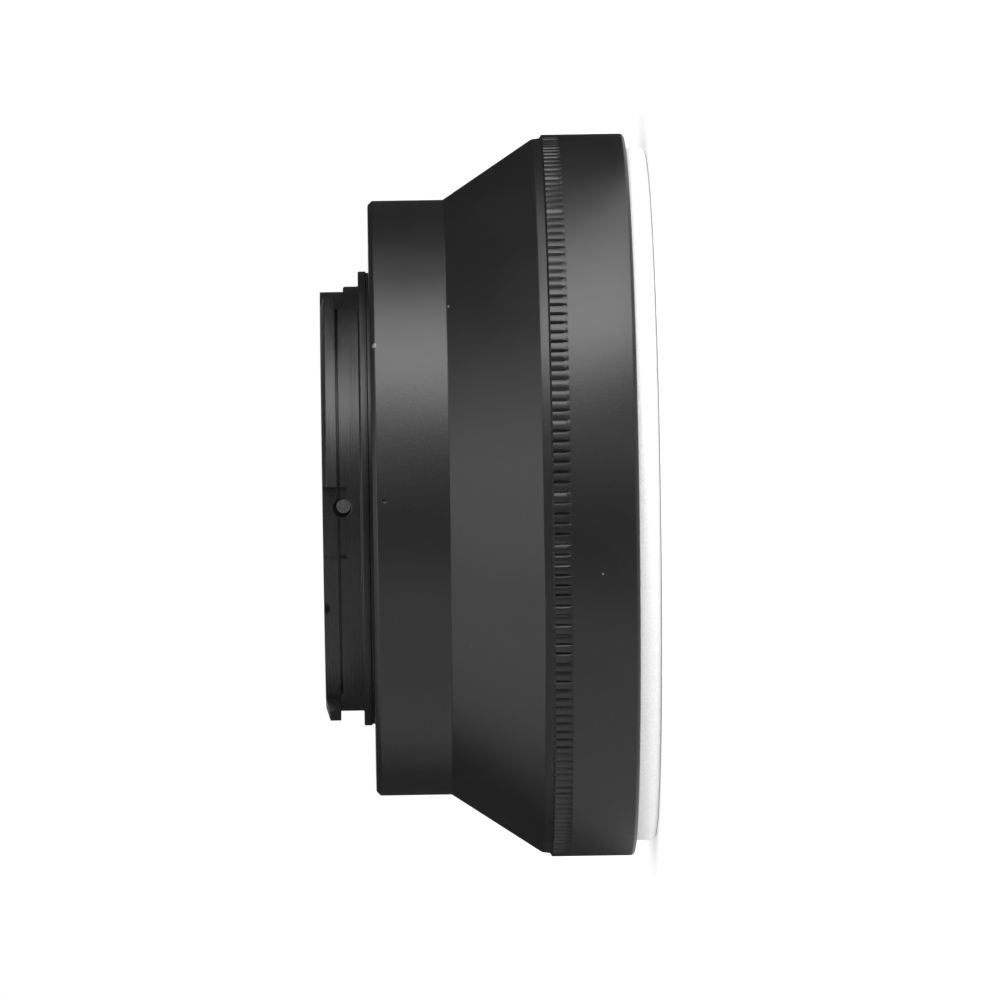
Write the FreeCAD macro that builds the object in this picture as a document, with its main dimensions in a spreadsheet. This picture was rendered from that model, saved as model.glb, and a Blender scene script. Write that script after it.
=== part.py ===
import FreeCAD, Part
import os

import Sketcher

# Lens mount adapter.
# It joins a lens with a wide bayonet to a smaller camera body, and holds the lens at its proper distance.
# The frame is +Z along the optical axis, towards the camera. The origin is the centre of the lens seat,
# which is the face that the adapter stands on. Angles turn from +X towards +Y. All sizes are in millimetres
# and degrees.

# Driving sizes
SIZES = {
    # lengths along the axis, from the lens seat to the front of the camera bayonet
    "plate_thickness": 2.3,
    "grip_length": 7.13,
    "knurl_width": 2.13,
    "land_length": 0.94,
    "cone_length": 9.7,
    "small_length": 8.25,
    "step_ring_length": 1.18,
    "collar_length": 2.54,
    "tab_thickness": 1.63,
    # radial steps at the camera end, from the throat outwards
    "throat_diameter": 42.0,
    "gap_floor_wall": 1.75,
    "undercut_depth": 0.5,
    "tab_overhang": 1.05,
    "tab_bevel_drop": 1.45,
    "pocket_floor_drop": 0.4,
    "spigot_wall": 3.85,
    "step_ring_overhang": 0.03,
    "camera_seat_width": 7.75,
    # radial steps at the lens end, from the pilot bore outwards
    "pilot_diameter": 62.0,
    "pilot_wall": 2.5,
    "plate_screw_from_chamber": 2.3,
    "plate_screw_from_edge": 2.15,
    "grip_overhang": 1.61,
    "land_drop": 0.37,
    "land_taper": 0.29,
    # edges of the barrel
    "grip_edge_round": 1.0,
    "small_edge_chamfer": 0.48,
    # straight knurl
    "knurl_teeth": 225,
    "knurl_depth": 0.34,
    "knurl_groove_width": 0.78,
    "cutter_overrun": 0.1,
    # inside of the barrel
    "chamber_floor_clearance": 0.5,
    "chamber_ledge": 5.1,
    "rear_bore_margin": 0.35,
    "steps_top_height": 21.4,
    "shoulder_thickness": 2.5,
    "spigot_depth": 1.55,
    "spigot_clearance": 0.05,
    # camera bayonet
    "throat_chamfer": 0.4,
    "relief_depth": 0.55,
    "relief_below_seat": 0.2,
    "relief_above_seat": 0.3,
    "undercut_width": 0.3,
    "tab_bevel_height": 0.45,
    "tab_one_start": 273.0,
    "tab_one_width": 62.0,
    "tab_two_start": 42.0,
    "tab_two_width": 50.0,
    "tab_three_start": 154.0,
    "tab_three_width": 50.0,
    "pocket_depth": 0.9,
    "pocket_before_width": 19.0,
    "pocket_after_width": 27.0,
    "notch_angle": 240.6,
    "notch_width": 1.5,
    "notch_depth": 0.5,
    # stop pin in the collar
    "stop_pin_angle": 268.0,
    "stop_pin_height": 33.55,
    "stop_pin_diameter": 1.5,
    "stop_pin_clearance": 0.02,
    "stop_pin_sink": 0.25,
    "stop_pin_counterbore": 2.3,
    "stop_pin_counterbore_depth": 0.75,
    # lens mount plate
    "pilot_depth": 1.6,
    "hub_clearance": 0.1,
    "hub_height": 1.3,
    "lug_reach": 2.5,
    "lug_gap_ledge": 0.8,
    "lug_first_start": 98.0,
    "lug_width": 52.0,
    "lug_count": 3,
    "plate_edge_round": 0.7,
    # screws of the plate
    "plate_screw_count": 6,
    "plate_screw_head": 3.7,
    "plate_screw_hole": 2.2,
    "plate_screw_thread": 2.0,
    "plate_screw_depth": 4.8,
    "plate_screw_sink": 0.05,
    "screw_tip_gap": 0.3,
    "thread_clearance": 0.02,
    # screws of the camera bayonet
    "bayonet_screw_count": 4,
    "bayonet_screw_from_throat": 2.0,
    "bayonet_screw_first_angle": 20.0,
    "bayonet_screw_head": 2.8,
    "bayonet_screw_head_height": 1.1,
    "bayonet_screw_counterbore": 3.0,
    "bayonet_screw_counterbore_depth": 1.3,
    "bayonet_screw_hole": 1.8,
    "bayonet_screw_thread": 1.6,
    "bayonet_screw_bite": 2.3,
    # leaf springs behind the lugs and their screws
    "leaf_from_lug": 0.3,
    "leaf_from_pilot": 0.2,
    "leaf_thickness": 0.3,
    "leaf_half_length": 10.0,
    "leaf_flat_half_length": 2.2,
    "leaf_bow": 0.55,
    "ear_width": 3.0,
    "ear_clearance": 0.3,
    "ear_corner_round": 0.9,
    "spring_screw_from_pilot": 1.1,
    "spring_screw_head": 2.0,
    "spring_screw_head_height": 0.6,
    "spring_screw_thread": 1.2,
    "spring_screw_bite": 1.6,
    "leaf_hole_clearance": 0.05,
    # release slider in its T slot
    "slider_angle": 90.0,
    "slider_travel": 2.2,
    "slot_neck_width": 3.4,
    "slot_flange_width": 6.4,
    "slot_flange_depth": 3.3,
    "slider_side_clearance": 0.06,
    "slider_end_clearance": 0.05,
    "slider_stop_clearance": 0.2,
    "slider_hub_clearance": 0.3,
    "slider_wall_above_pin": 0.6,
    "thumb_clearance": 0.3,
    "thumb_depth": 2.5,
    "thumb_width": 8.4,
    "thumb_height": 4.6,
    "thumb_raise": 0.5,
    "thumb_corner_round": 0.8,
    "thumb_rib_count": 4,
    "thumb_rib_pitch": 0.95,
    "thumb_groove_width": 0.45,
    "thumb_groove_depth": 0.4,
    # lock pin and its spring
    "lock_pin_diameter": 2.0,
    "lock_pin_fit": 0.01,
    "lock_pin_above_hub": 0.5,
    "lock_pin_short_of_lug": 0.8,
    "lock_pin_tip_chamfer": 0.35,
    "lock_pin_seat_inset": 1.16,
    "spring_hole_margin": 0.25,
    "lock_spring_diameter": 2.4,
    "lock_spring_wire": 0.36,
    "lock_spring_turns": 5,
    "lock_spring_hole": 2.7,
    "lock_spring_hole_depth": 5.0,
    # recess for the lock pin of the camera, in the camera seat
    "lock_recess_angle": 62.0,
    "lock_recess_from_spigot": 3.85,
    "lock_recess_diameter": 2.6,
    "lock_recess_depth": 2.2,
    # index beads
    "bead_diameter": 2.2,
    "bead_fit": 0.02,
    "bead_depth": 0.9,
    "bead_rise": 0.12,
    "bead_edge_chamfer": 0.25,
    "camera_bead_angle": 118.0,
    "camera_bead_below_seat": 2.4,
    "lens_bead_angle": 64.0,
    "lens_bead_height": 5.9,
    # recesses for the drivers in the screw heads
    "cross_width": 0.42,
    "cross_depth_share": 0.55,
    "cross_length_share": 0.62,
}

# How far a cutter reaches past the face it enters
CLEAR_CUT = 1.0

# The middle of a quarter round lies this share of its radius inside each side of the corner
ROUND_SHARE = 1 - 0.5**0.5

App = FreeCAD
document = App.newDocument("lens_mount_adapter")


# The sheet holds every driving size as a plain number
def fill_sheet():
    sheet = document.addObject("Spreadsheet::Sheet", "Sizes")
    for row, (alias, number) in enumerate(SIZES.items(), start=1):
        sheet.set(f"A{row}", alias)
        sheet.set(f"B{row}", str(number))
        sheet.setAlias(f"B{row}", alias)
    document.recompute()
    return sheet


sheet = fill_sheet()


# A size is known as a formula over the sheet, which binds it, and as a number, which draws the first shape
class Size:
    def __init__(self, formula, number):
        self.formula = formula
        self.number = float(number)

    def joined(self, sign, other, number):
        return Size(f"({self.formula} {sign} {other.formula})", number)

    def __add__(self, other):
        other = as_size(other)
        return self.joined("+", other, self.number + other.number)

    def __sub__(self, other):
        other = as_size(other)
        return self.joined("-", other, self.number - other.number)

    def __mul__(self, other):
        other = as_size(other)
        return self.joined("*", other, self.number * other.number)

    def __truediv__(self, other):
        other = as_size(other)
        return self.joined("/", other, self.number / other.number)

    def __neg__(self):
        return as_size(0) - self


def as_size(value):
    if isinstance(value, Size):
        return value
    return Size(str(value), value)


def cell(alias):
    return Size(f"Sizes.{alias}", sheet.get(alias))


def radius(alias):
    return cell(alias) / 2


ZERO = as_size(0)

# Stations along the axis
GRIP_START = cell("plate_thickness")
KNURL_START = GRIP_START + cell("grip_length")
KNURL_END = KNURL_START + cell("knurl_width")
LAND_END = KNURL_END + cell("land_length")
CONE_END = LAND_END + cell("cone_length")
CAMERA_SEAT = CONE_END + cell("small_length")
STEP_RING_END = CAMERA_SEAT + cell("step_ring_length")
COLLAR_END = STEP_RING_END + cell("collar_length")
FRONT = COLLAR_END + cell("tab_thickness")
SPIGOT_FLOOR = CAMERA_SEAT - cell("spigot_depth")
SHOULDER_FACE = SPIGOT_FLOOR - cell("shoulder_thickness")
HUB_END = GRIP_START + cell("hub_height")
SLIDER_BOTTOM = GRIP_START + cell("slider_end_clearance")
LOCK_PIN_HEIGHT = HUB_END + cell("lock_pin_above_hub") + radius("lock_pin_diameter")
LOCK_PIN_TOP = LOCK_PIN_HEIGHT + radius("lock_pin_diameter")
SLIDER_TOP = LOCK_PIN_TOP + cell("slider_wall_above_pin")
SLOT_END = SLIDER_TOP + cell("slider_travel") + cell("slider_stop_clearance")
SPRING_SEAT = SLOT_END + cell("lock_spring_hole_depth")
CHAMBER_FLOOR = LOCK_PIN_TOP + cell("slider_travel") + cell("chamber_floor_clearance")
COUNTERBORE_FLOOR = SHOULDER_FACE + cell("bayonet_screw_counterbore_depth")

# Radii at the camera end
THROAT = radius("throat_diameter")
GAP_FLOOR = THROAT + cell("gap_floor_wall")
POCKET_FLOOR = GAP_FLOOR - cell("pocket_floor_drop")
COLLAR = GAP_FLOOR + cell("undercut_depth")
TAB = COLLAR + cell("tab_overhang")
SPIGOT = THROAT + cell("spigot_wall")
REAR_BORE = SPIGOT + cell("rear_bore_margin")
SMALL_END = SPIGOT + cell("camera_seat_width")
BAYONET_SCREW_REACH = THROAT + cell("bayonet_screw_from_throat")
LOCK_RECESS_REACH = SPIGOT + cell("lock_recess_from_spigot")

# Radii at the lens end
PILOT = radius("pilot_diameter")
LUG = PILOT - cell("lug_reach")
CHAMBER = PILOT + cell("pilot_wall")
HUB_RADIUS = CHAMBER - cell("hub_clearance")
MOUTH = CHAMBER - cell("chamber_ledge")
PLATE_SCREW_REACH = CHAMBER + cell("plate_screw_from_chamber")
PLATE_RADIUS = PLATE_SCREW_REACH + cell("plate_screw_from_edge")
GRIP = PLATE_RADIUS + cell("grip_overhang")
LAND = GRIP - cell("land_drop")
SPRING_SCREW_REACH = PILOT + cell("spring_screw_from_pilot")
SLOT_FLANGE = CHAMBER + cell("slot_flange_depth")
LOCK_PIN_SEAT = GRIP - cell("lock_pin_seat_inset")
LOCK_SPRING_REACH = SLOT_FLANGE - radius("lock_spring_hole") - cell("spring_hole_margin")


# Drawing helpers
def new_body(label):
    body = document.addObject("PartDesign::Body", label)
    body.Label = label
    return body


def origin_item(body, role):
    return next(item for item in body.Origin.OriginFeatures if item.Role == role)


def new_sketch(body, name, role, height=None, turn=None):
    """A sketch on an origin plane, turned about the optical axis and moved along its own normal."""
    sketch = body.newObject("Sketcher::SketchObject", name)
    sketch.AttachmentSupport = (origin_item(body, role), [""])
    sketch.MapMode = "FlatFace"
    flat = role == "XY_Plane"
    upright = App.Vector(0, 0, 1) if flat else App.Vector(0, 1, 0)
    turned = App.Rotation(upright, turn.number if turn else 0)
    start = turned.multVec(App.Vector(0, 0, height.number if height else 0))
    sketch.AttachmentOffset = App.Placement(start, turned)
    if turn:
        sketch.setExpression("AttachmentOffset.Rotation.Angle", turn.formula)
    if height and turn and not flat:
        sketch.setExpression("AttachmentOffset.Base.x", f"{height.formula} * sin({turn.formula})")
        sketch.setExpression("AttachmentOffset.Base.z", f"{height.formula} * cos({turn.formula})")
    elif height:
        sketch.setExpression("AttachmentOffset.Base.z", height.formula)
    return sketch


def hold(sketch, kind, item, point, size):
    """Keeps a point of the sketch at a signed distance from the sketch's origin."""
    index = sketch.addConstraint(Sketcher.Constraint(kind, -1, 1, item, point, size.number))
    sketch.setExpression(f"Constraints[{index}]", size.formula)


def draw_loop(sketch, corners):
    """A closed loop of straight lines, each corner held by its two distances."""
    first = sketch.GeometryCount
    points = [App.Vector(across.number, along.number, 0) for across, along in corners]
    count = len(points)
    for step in range(count):
        sketch.addGeometry(Part.LineSegment(points[step], points[(step + 1) % count]), False)
    for step in range(count):
        following = first + (step + 1) % count
        sketch.addConstraint(Sketcher.Constraint("Coincident", first + step, 2, following, 1))
    for step, (across, along) in enumerate(corners):
        hold(sketch, "DistanceX", first + step, 1, across)
        hold(sketch, "DistanceY", first + step, 1, along)


def draw_circle(sketch, across, along, size):
    """A circle whose radius and centre are held."""
    centre = App.Vector(across.number, along.number, 0)
    item = sketch.addGeometry(Part.Circle(centre, App.Vector(0, 0, 1), size.number), False)
    hold(sketch, "DistanceX", item, 3, across)
    hold(sketch, "DistanceY", item, 3, along)
    index = sketch.addConstraint(Sketcher.Constraint("Radius", item, size.number))
    sketch.setExpression(f"Constraints[{index}]", size.formula)


def box_corners(low_across, high_across, low_along, high_along):
    return [
        (low_across, low_along),
        (high_across, low_along),
        (high_across, high_along),
        (low_across, high_along),
    ]


def rounded_corner(outside, face, size):
    """A rounded outer corner of a turned profile, as the ends and the middle of its quarter round."""
    middle = size * ROUND_SHARE
    return [
        (outside - size, face),
        (outside - middle, face + middle),
        (outside, face + size),
    ]


def turn_profile(body, name, corners):
    """A solid of revolution about the optical axis."""
    sketch = new_sketch(body, f"{name}_profile", "XZ_Plane")
    draw_loop(sketch, corners)
    feature = body.newObject("PartDesign::Revolution", name)
    feature.Profile = sketch
    feature.ReferenceAxis = (sketch, ["V_Axis"])
    feature.Angle = 360
    return feature


def turn_cut(body, name, corners, start=None, sweep=None):
    """A cut turned about the optical axis, over a whole turn or over a sector that begins at start."""
    sketch = new_sketch(body, f"{name}_profile", "XZ_Plane", turn=start)
    draw_loop(sketch, corners)
    feature = body.newObject("PartDesign::Groove", name)
    feature.Profile = sketch
    feature.ReferenceAxis = (sketch, ["V_Axis"])
    feature.Angle = 360
    if sweep:
        feature.setExpression("Angle", sweep.formula)
    return feature


def pad(body, name, sketch, length):
    feature = body.newObject("PartDesign::Pad", name)
    feature.Profile = sketch
    feature.setExpression("Length", length.formula)
    return feature


def cut_outward(body, name, sketch, length):
    """A pocket that follows the sketch's normal."""
    feature = body.newObject("PartDesign::Pocket", name)
    feature.Profile = sketch
    feature.Reversed = True
    feature.setExpression("Length", length.formula)
    return feature


def drill(body, name, role, height, turn, across, along, size, length):
    """A round hole that starts at a height on an origin plane and follows the plane's normal."""
    sketch = new_sketch(body, f"{name}_circle", role, height, turn)
    draw_circle(sketch, across, along, size)
    return cut_outward(body, name, sketch, length)


def repeat_round(body, name, originals, count):
    """The same features, spread evenly about the optical axis."""
    feature = body.newObject("PartDesign::PolarPattern", name)
    feature.Originals = originals
    feature.Axis = (origin_item(body, "Z_Axis"), [""])
    feature.Angle = 360
    feature.setExpression("Occurrences", count.formula)
    body.Tip = feature
    return feature


def edges_where(feature, test):
    """The names of the edges of a feature that pass a test."""
    return [f"Edge{index}" for index, edge in enumerate(feature.Shape.Edges, start=1) if test(edge)]


def from_axis(point):
    return (point.x**2 + point.y**2) ** 0.5


def is_circle(edge):
    return edge.Curve.TypeId == "Part::GeomCircle"


def same(one, other):
    return abs(one - other) < 0.001


def circle_edges(feature, size, height):
    """The round edges of one radius at one height."""

    def fits(edge):
        if not is_circle(edge):
            return False
        return same(edge.Curve.Radius, size.number) and same(edge.Curve.Center.z, height.number)

    return edges_where(feature, fits)


def round_edges(body, name, base, edges, alias):
    feature = body.newObject("PartDesign::Fillet", name)
    feature.Base = (base, edges)
    feature.setExpression("Radius", cell(alias).formula)
    return feature


def place(thing, distance, angle, height=ZERO):
    """Moves a piece that is drawn round its own axis out to its place round the optical axis."""
    turn = App.Rotation(App.Vector(0, 0, 1), angle.number)
    start = turn.multVec(App.Vector(distance.number, 0, 0)) + App.Vector(0, 0, height.number)
    thing.Placement = App.Placement(start, turn)
    thing.setExpression("Placement.Base.x", f"{distance.formula} * cos({angle.formula})")
    thing.setExpression("Placement.Base.y", f"{distance.formula} * sin({angle.formula})")
    thing.setExpression("Placement.Base.z", height.formula)
    thing.setExpression("Placement.Rotation.Angle", angle.formula)


# Barrel
def barrel_corners():
    """The half section of the barrel, with the stepped bore that keeps stray light down."""
    step_count = 4
    lens_end = [(CHAMBER, GRIP_START)]
    lens_end += rounded_corner(GRIP, GRIP_START, cell("grip_edge_round"))
    outside = [
        (GRIP, KNURL_END),
        (LAND, KNURL_END),
        (LAND - cell("land_taper"), LAND_END),
        (SMALL_END, CONE_END),
        (SMALL_END, CAMERA_SEAT),
    ]
    recess_radius = SPIGOT + cell("spigot_clearance")
    camera_end = [
        (recess_radius, CAMERA_SEAT),
        (recess_radius, SPIGOT_FLOOR),
        (THROAT, SPIGOT_FLOOR),
        (THROAT, SHOULDER_FACE),
        (REAR_BORE, SHOULDER_FACE),
    ]
    steps_top = cell("steps_top_height")
    fall = (steps_top - CHAMBER_FLOOR) / step_count
    growth = (MOUTH - REAR_BORE) / step_count
    bore = [(REAR_BORE, steps_top)]
    for step in range(step_count):
        wall = REAR_BORE + growth * (step + 1)
        bore.append((wall, steps_top - fall * step))
        bore.append((wall, steps_top - fall * (step + 1)))
    chamber = [(CHAMBER, CHAMBER_FLOOR)]
    return lens_end + outside + camera_end + bore + chamber


def add_knurl(body):
    """One V groove along the axis, repeated round the grip's camera-side edge."""
    depth = cell("knurl_depth")
    overrun = cell("cutter_overrun")
    surface = GRIP
    half_width = radius("knurl_groove_width") * (depth + overrun) / depth
    sketch = new_sketch(body, "knurl_section", "XY_Plane", KNURL_START)
    draw_loop(
        sketch,
        [
            (surface - depth, ZERO),
            (surface + overrun, -half_width),
            (surface + overrun, half_width),
        ],
    )
    groove = cut_outward(body, "knurl_groove", sketch, cell("knurl_width"))
    repeat_round(body, "knurl", [groove], cell("knurl_teeth"))


def add_slider_slot(body):
    """The T slot, open at the lens end and closed there by the plate, with the hole for the spring."""
    angle = cell("slider_angle")
    half_flange = radius("slot_flange_width")
    half_neck = radius("slot_neck_width")
    inside = CHAMBER - CLEAR_CUT
    flange_face = SLOT_FLANGE
    outside = GRIP + CLEAR_CUT
    sketch = new_sketch(body, "slider_slot_plan", "XY_Plane", GRIP_START, angle)
    draw_loop(
        sketch,
        [
            (inside, -half_flange),
            (flange_face, -half_flange),
            (flange_face, -half_neck),
            (outside, -half_neck),
            (outside, half_neck),
            (flange_face, half_neck),
            (flange_face, half_flange),
            (inside, half_flange),
        ],
    )
    cut_outward(body, "slider_slot", sketch, SLOT_END - GRIP_START)
    drill(
        body,
        "spring_hole",
        "XY_Plane",
        SLOT_END,
        angle,
        LOCK_SPRING_REACH,
        ZERO,
        radius("lock_spring_hole"),
        cell("lock_spring_hole_depth"),
    )


def add_bead_seat(body, name, surface, angle, height):
    """A flat-bottomed radial hole for an index bead."""
    drill(
        body,
        name,
        "YZ_Plane",
        surface - cell("bead_depth"),
        angle,
        ZERO,
        height,
        radius("bead_diameter") + cell("bead_fit"),
        cell("bead_depth") + CLEAR_CUT,
    )


def make_barrel():
    body = new_body("barrel")
    turned = turn_profile(body, "barrel_turned", barrel_corners())
    document.recompute()
    chamfer = body.newObject("PartDesign::Chamfer", "small_edge")
    chamfer.Base = (turned, circle_edges(turned, SMALL_END, CAMERA_SEAT))
    chamfer.setExpression("Size", cell("small_edge_chamfer").formula)
    thread_hole = drill(
        body,
        "plate_screw_thread",
        "XY_Plane",
        GRIP_START,
        ZERO,
        PLATE_SCREW_REACH,
        ZERO,
        radius("plate_screw_thread"),
        cell("plate_screw_depth"),
    )
    repeat_round(body, "plate_screw_threads", [thread_hole], cell("plate_screw_count"))
    through = drill(
        body,
        "bayonet_screw_hole",
        "XY_Plane",
        SHOULDER_FACE,
        cell("bayonet_screw_first_angle"),
        BAYONET_SCREW_REACH,
        ZERO,
        radius("bayonet_screw_hole"),
        cell("shoulder_thickness"),
    )
    counterbore = drill(
        body,
        "bayonet_screw_counterbore",
        "XY_Plane",
        SHOULDER_FACE,
        cell("bayonet_screw_first_angle"),
        BAYONET_SCREW_REACH,
        ZERO,
        radius("bayonet_screw_counterbore"),
        cell("bayonet_screw_counterbore_depth"),
    )
    repeat_round(body, "bayonet_screw_seats", [through, counterbore], cell("bayonet_screw_count"))
    drill(
        body,
        "camera_lock_recess",
        "XY_Plane",
        CAMERA_SEAT - cell("lock_recess_depth"),
        cell("lock_recess_angle"),
        LOCK_RECESS_REACH,
        ZERO,
        radius("lock_recess_diameter"),
        cell("lock_recess_depth") + CLEAR_CUT,
    )
    add_slider_slot(body)
    add_bead_seat(
        body,
        "camera_bead_seat",
        SMALL_END,
        cell("camera_bead_angle"),
        CAMERA_SEAT - cell("camera_bead_below_seat"),
    )
    add_bead_seat(
        body,
        "lens_bead_seat",
        GRIP,
        cell("lens_bead_angle"),
        cell("lens_bead_height"),
    )
    add_knurl(body)
    return body


# Camera bayonet
def bayonet_corners():
    """The half section of the bayonet before its tabs are parted."""
    spigot = SPIGOT
    relief = spigot - cell("relief_depth")
    throat = THROAT
    undercut = GAP_FLOOR
    return [
        (throat, SPIGOT_FLOOR),
        (spigot, SPIGOT_FLOOR),
        (spigot, CAMERA_SEAT - cell("relief_below_seat")),
        (relief, CAMERA_SEAT - cell("relief_below_seat")),
        (relief, CAMERA_SEAT + cell("relief_above_seat")),
        (SPIGOT + cell("step_ring_overhang"), CAMERA_SEAT + cell("relief_above_seat")),
        (SPIGOT + cell("step_ring_overhang"), STEP_RING_END),
        (COLLAR, STEP_RING_END),
        (COLLAR, COLLAR_END - cell("undercut_width")),
        (undercut, COLLAR_END - cell("undercut_width")),
        (undercut, COLLAR_END),
        (TAB, COLLAR_END),
        (TAB, FRONT - cell("tab_bevel_height")),
        (TAB - cell("tab_bevel_drop"), FRONT),
        (throat + cell("throat_chamfer"), FRONT),
        (throat, FRONT - cell("throat_chamfer")),
    ]


def part_tabs(body):
    """The ring at the front is cut away between the three tabs."""
    tabs = [
        (cell("tab_one_start"), cell("tab_one_width")),
        (cell("tab_two_start"), cell("tab_two_width")),
        (cell("tab_three_start"), cell("tab_three_width")),
    ]
    gap_section = box_corners(
        GAP_FLOOR,
        TAB + CLEAR_CUT,
        COLLAR_END,
        FRONT + CLEAR_CUT,
    )
    whole_turn = 360
    following = tabs[1:] + tabs[:1]
    for number, (tab, next_tab) in enumerate(zip(tabs, following), start=1):
        gap_start = tab[0] + tab[1]
        gap_sweep = next_tab[0] - gap_start
        if gap_sweep.number < 0:
            gap_sweep = gap_sweep + whole_turn
        turn_cut(body, f"tab_gap_{number}", gap_section, gap_start, gap_sweep)


def add_entry_pockets(body):
    """The deeper run-outs of the cutter, before and after the first tab."""
    section = box_corners(
        POCKET_FLOOR,
        TAB + CLEAR_CUT,
        COLLAR_END - cell("pocket_depth"),
        FRONT + CLEAR_CUT,
    )
    before = cell("pocket_before_width")
    tab_start = cell("tab_one_start")
    tab_end = tab_start + cell("tab_one_width")
    turn_cut(body, "entry_pocket", section, tab_start - before, before)
    turn_cut(body, "exit_pocket", section, tab_end, cell("pocket_after_width"))


def make_camera_bayonet():
    body = new_body("camera_bayonet")
    turn_profile(body, "bayonet_turned", bayonet_corners())
    part_tabs(body)
    add_entry_pockets(body)
    half_notch = radius("notch_width")
    notch_plan = new_sketch(body, "notch_plan", "XY_Plane", FRONT - cell("notch_depth"), cell("notch_angle"))
    outside = TAB + CLEAR_CUT
    inside = THROAT - CLEAR_CUT
    draw_loop(notch_plan, box_corners(inside, outside, -half_notch, half_notch))
    cut_outward(body, "front_notch", notch_plan, cell("notch_depth") + CLEAR_CUT)
    pin_radius = radius("stop_pin_diameter") + cell("stop_pin_clearance")
    drill(
        body,
        "stop_pin_hole",
        "YZ_Plane",
        ZERO,
        cell("stop_pin_angle"),
        ZERO,
        cell("stop_pin_height"),
        pin_radius,
        TAB,
    )
    drill(
        body,
        "stop_pin_counterbore",
        "YZ_Plane",
        COLLAR - cell("stop_pin_counterbore_depth"),
        cell("stop_pin_angle"),
        ZERO,
        cell("stop_pin_height"),
        radius("stop_pin_counterbore"),
        cell("stop_pin_counterbore_depth") + CLEAR_CUT,
    )
    thread = drill(
        body,
        "bayonet_thread",
        "XY_Plane",
        SPIGOT_FLOOR,
        cell("bayonet_screw_first_angle"),
        BAYONET_SCREW_REACH,
        ZERO,
        radius("bayonet_screw_thread"),
        cell("bayonet_screw_bite"),
    )
    repeat_round(body, "bayonet_threads", [thread], cell("bayonet_screw_count"))
    return body


def make_stop_pin():
    """A plain pin, radial, its outer end a little under the collar's surface."""
    body = new_body("stop_pin")
    inner_end = THROAT
    outer_end = COLLAR - cell("stop_pin_sink")
    sketch = new_sketch(body, "stop_pin_circle", "YZ_Plane", inner_end, cell("stop_pin_angle"))
    draw_circle(sketch, ZERO, cell("stop_pin_height"), radius("stop_pin_diameter"))
    pad(body, "stop_pin_length", sketch, outer_end - inner_end)
    return body


# Lens mount plate
def plate_corners():
    """The half section of the plate before its lugs are parted."""
    lens_end = [(PILOT, ZERO)]
    lens_end += rounded_corner(PLATE_RADIUS, ZERO, cell("plate_edge_round"))
    return lens_end + [
        (PLATE_RADIUS, GRIP_START),
        (HUB_RADIUS, GRIP_START),
        (HUB_RADIUS, HUB_END),
        (LUG, HUB_END),
        (LUG, cell("pilot_depth")),
        (PILOT, cell("pilot_depth")),
    ]


def make_lens_mount_plate():
    body = new_body("lens_mount_plate")
    turn_profile(body, "plate_turned", plate_corners())
    gap_section = box_corners(
        LUG - CLEAR_CUT,
        PILOT - cell("lug_gap_ledge"),
        cell("pilot_depth"),
        HUB_END + CLEAR_CUT,
    )
    gap_start = cell("lug_first_start") + cell("lug_width")
    gap_sweep = as_size(360) / cell("lug_count") - cell("lug_width")
    gap = turn_cut(body, "lug_gap", gap_section, gap_start, gap_sweep)
    repeat_round(body, "lug_gaps", [gap], cell("lug_count"))
    through = drill(
        body,
        "plate_hole",
        "XY_Plane",
        ZERO,
        ZERO,
        PLATE_SCREW_REACH,
        ZERO,
        radius("plate_screw_hole"),
        cell("plate_thickness"),
    )
    head = radius("plate_screw_head")
    hole = radius("plate_screw_hole")
    sink = body.newObject("PartDesign::SubtractiveCone", "plate_countersink")
    sink.AttachmentSupport = (origin_item(body, "XY_Plane"), [""])
    sink.MapMode = "FlatFace"
    sink.setExpression("AttachmentOffset.Base.x", PLATE_SCREW_REACH.formula)
    sink.setExpression("Radius1", head.formula)
    sink.setExpression("Radius2", hole.formula)
    sink.setExpression("Height", (head - hole).formula)
    repeat_round(body, "plate_holes", [through, sink], cell("plate_screw_count"))
    lug_middle = cell("lug_first_start") + cell("lug_width") / 2
    thread = drill(
        body,
        "leaf_thread",
        "XY_Plane",
        HUB_END - cell("spring_screw_bite"),
        lug_middle,
        SPRING_SCREW_REACH,
        ZERO,
        radius("spring_screw_thread"),
        cell("spring_screw_bite") + CLEAR_CUT,
    )
    repeat_round(body, "leaf_threads", [thread], cell("lug_count"))
    return body


# Screws
def cut_cross(body, name, face_height, head_radius, head_height):
    """A cross recess in a head whose face looks down at face_height."""
    length = head_radius * cell("cross_length_share")
    half_width = radius("cross_width")
    depth = head_height * cell("cross_depth_share")
    arms = [(length, half_width), (half_width, length)]
    for number, (half_across, half_along) in enumerate(arms, start=1):
        sketch = new_sketch(body, f"{name}_arm_{number}", "XY_Plane", face_height)
        draw_loop(sketch, box_corners(-half_across, half_across, -half_along, half_along))
        cut_outward(body, f"{name}_cut_{number}", sketch, depth)


def make_plate_screw(number):
    """A countersunk screw, its head just under the lens seat."""
    label = f"plate_screw_{number}"
    body = new_body(label)
    sink = cell("plate_screw_sink")
    head = radius("plate_screw_head") - sink
    shank = radius("plate_screw_thread") - cell("thread_clearance")
    tip = GRIP_START + cell("plate_screw_depth") - cell("screw_tip_gap")
    corners = [
        (ZERO, sink),
        (head, sink),
        (shank, sink + head - shank),
        (shank, tip),
        (ZERO, tip),
    ]
    turn_profile(body, f"{label}_turned", corners)
    cut_cross(body, f"{label}_cross", sink, head, head - shank)
    spacing = as_size(360) / cell("plate_screw_count")
    place(body, PLATE_SCREW_REACH, spacing * (number - 1))
    return body


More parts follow.
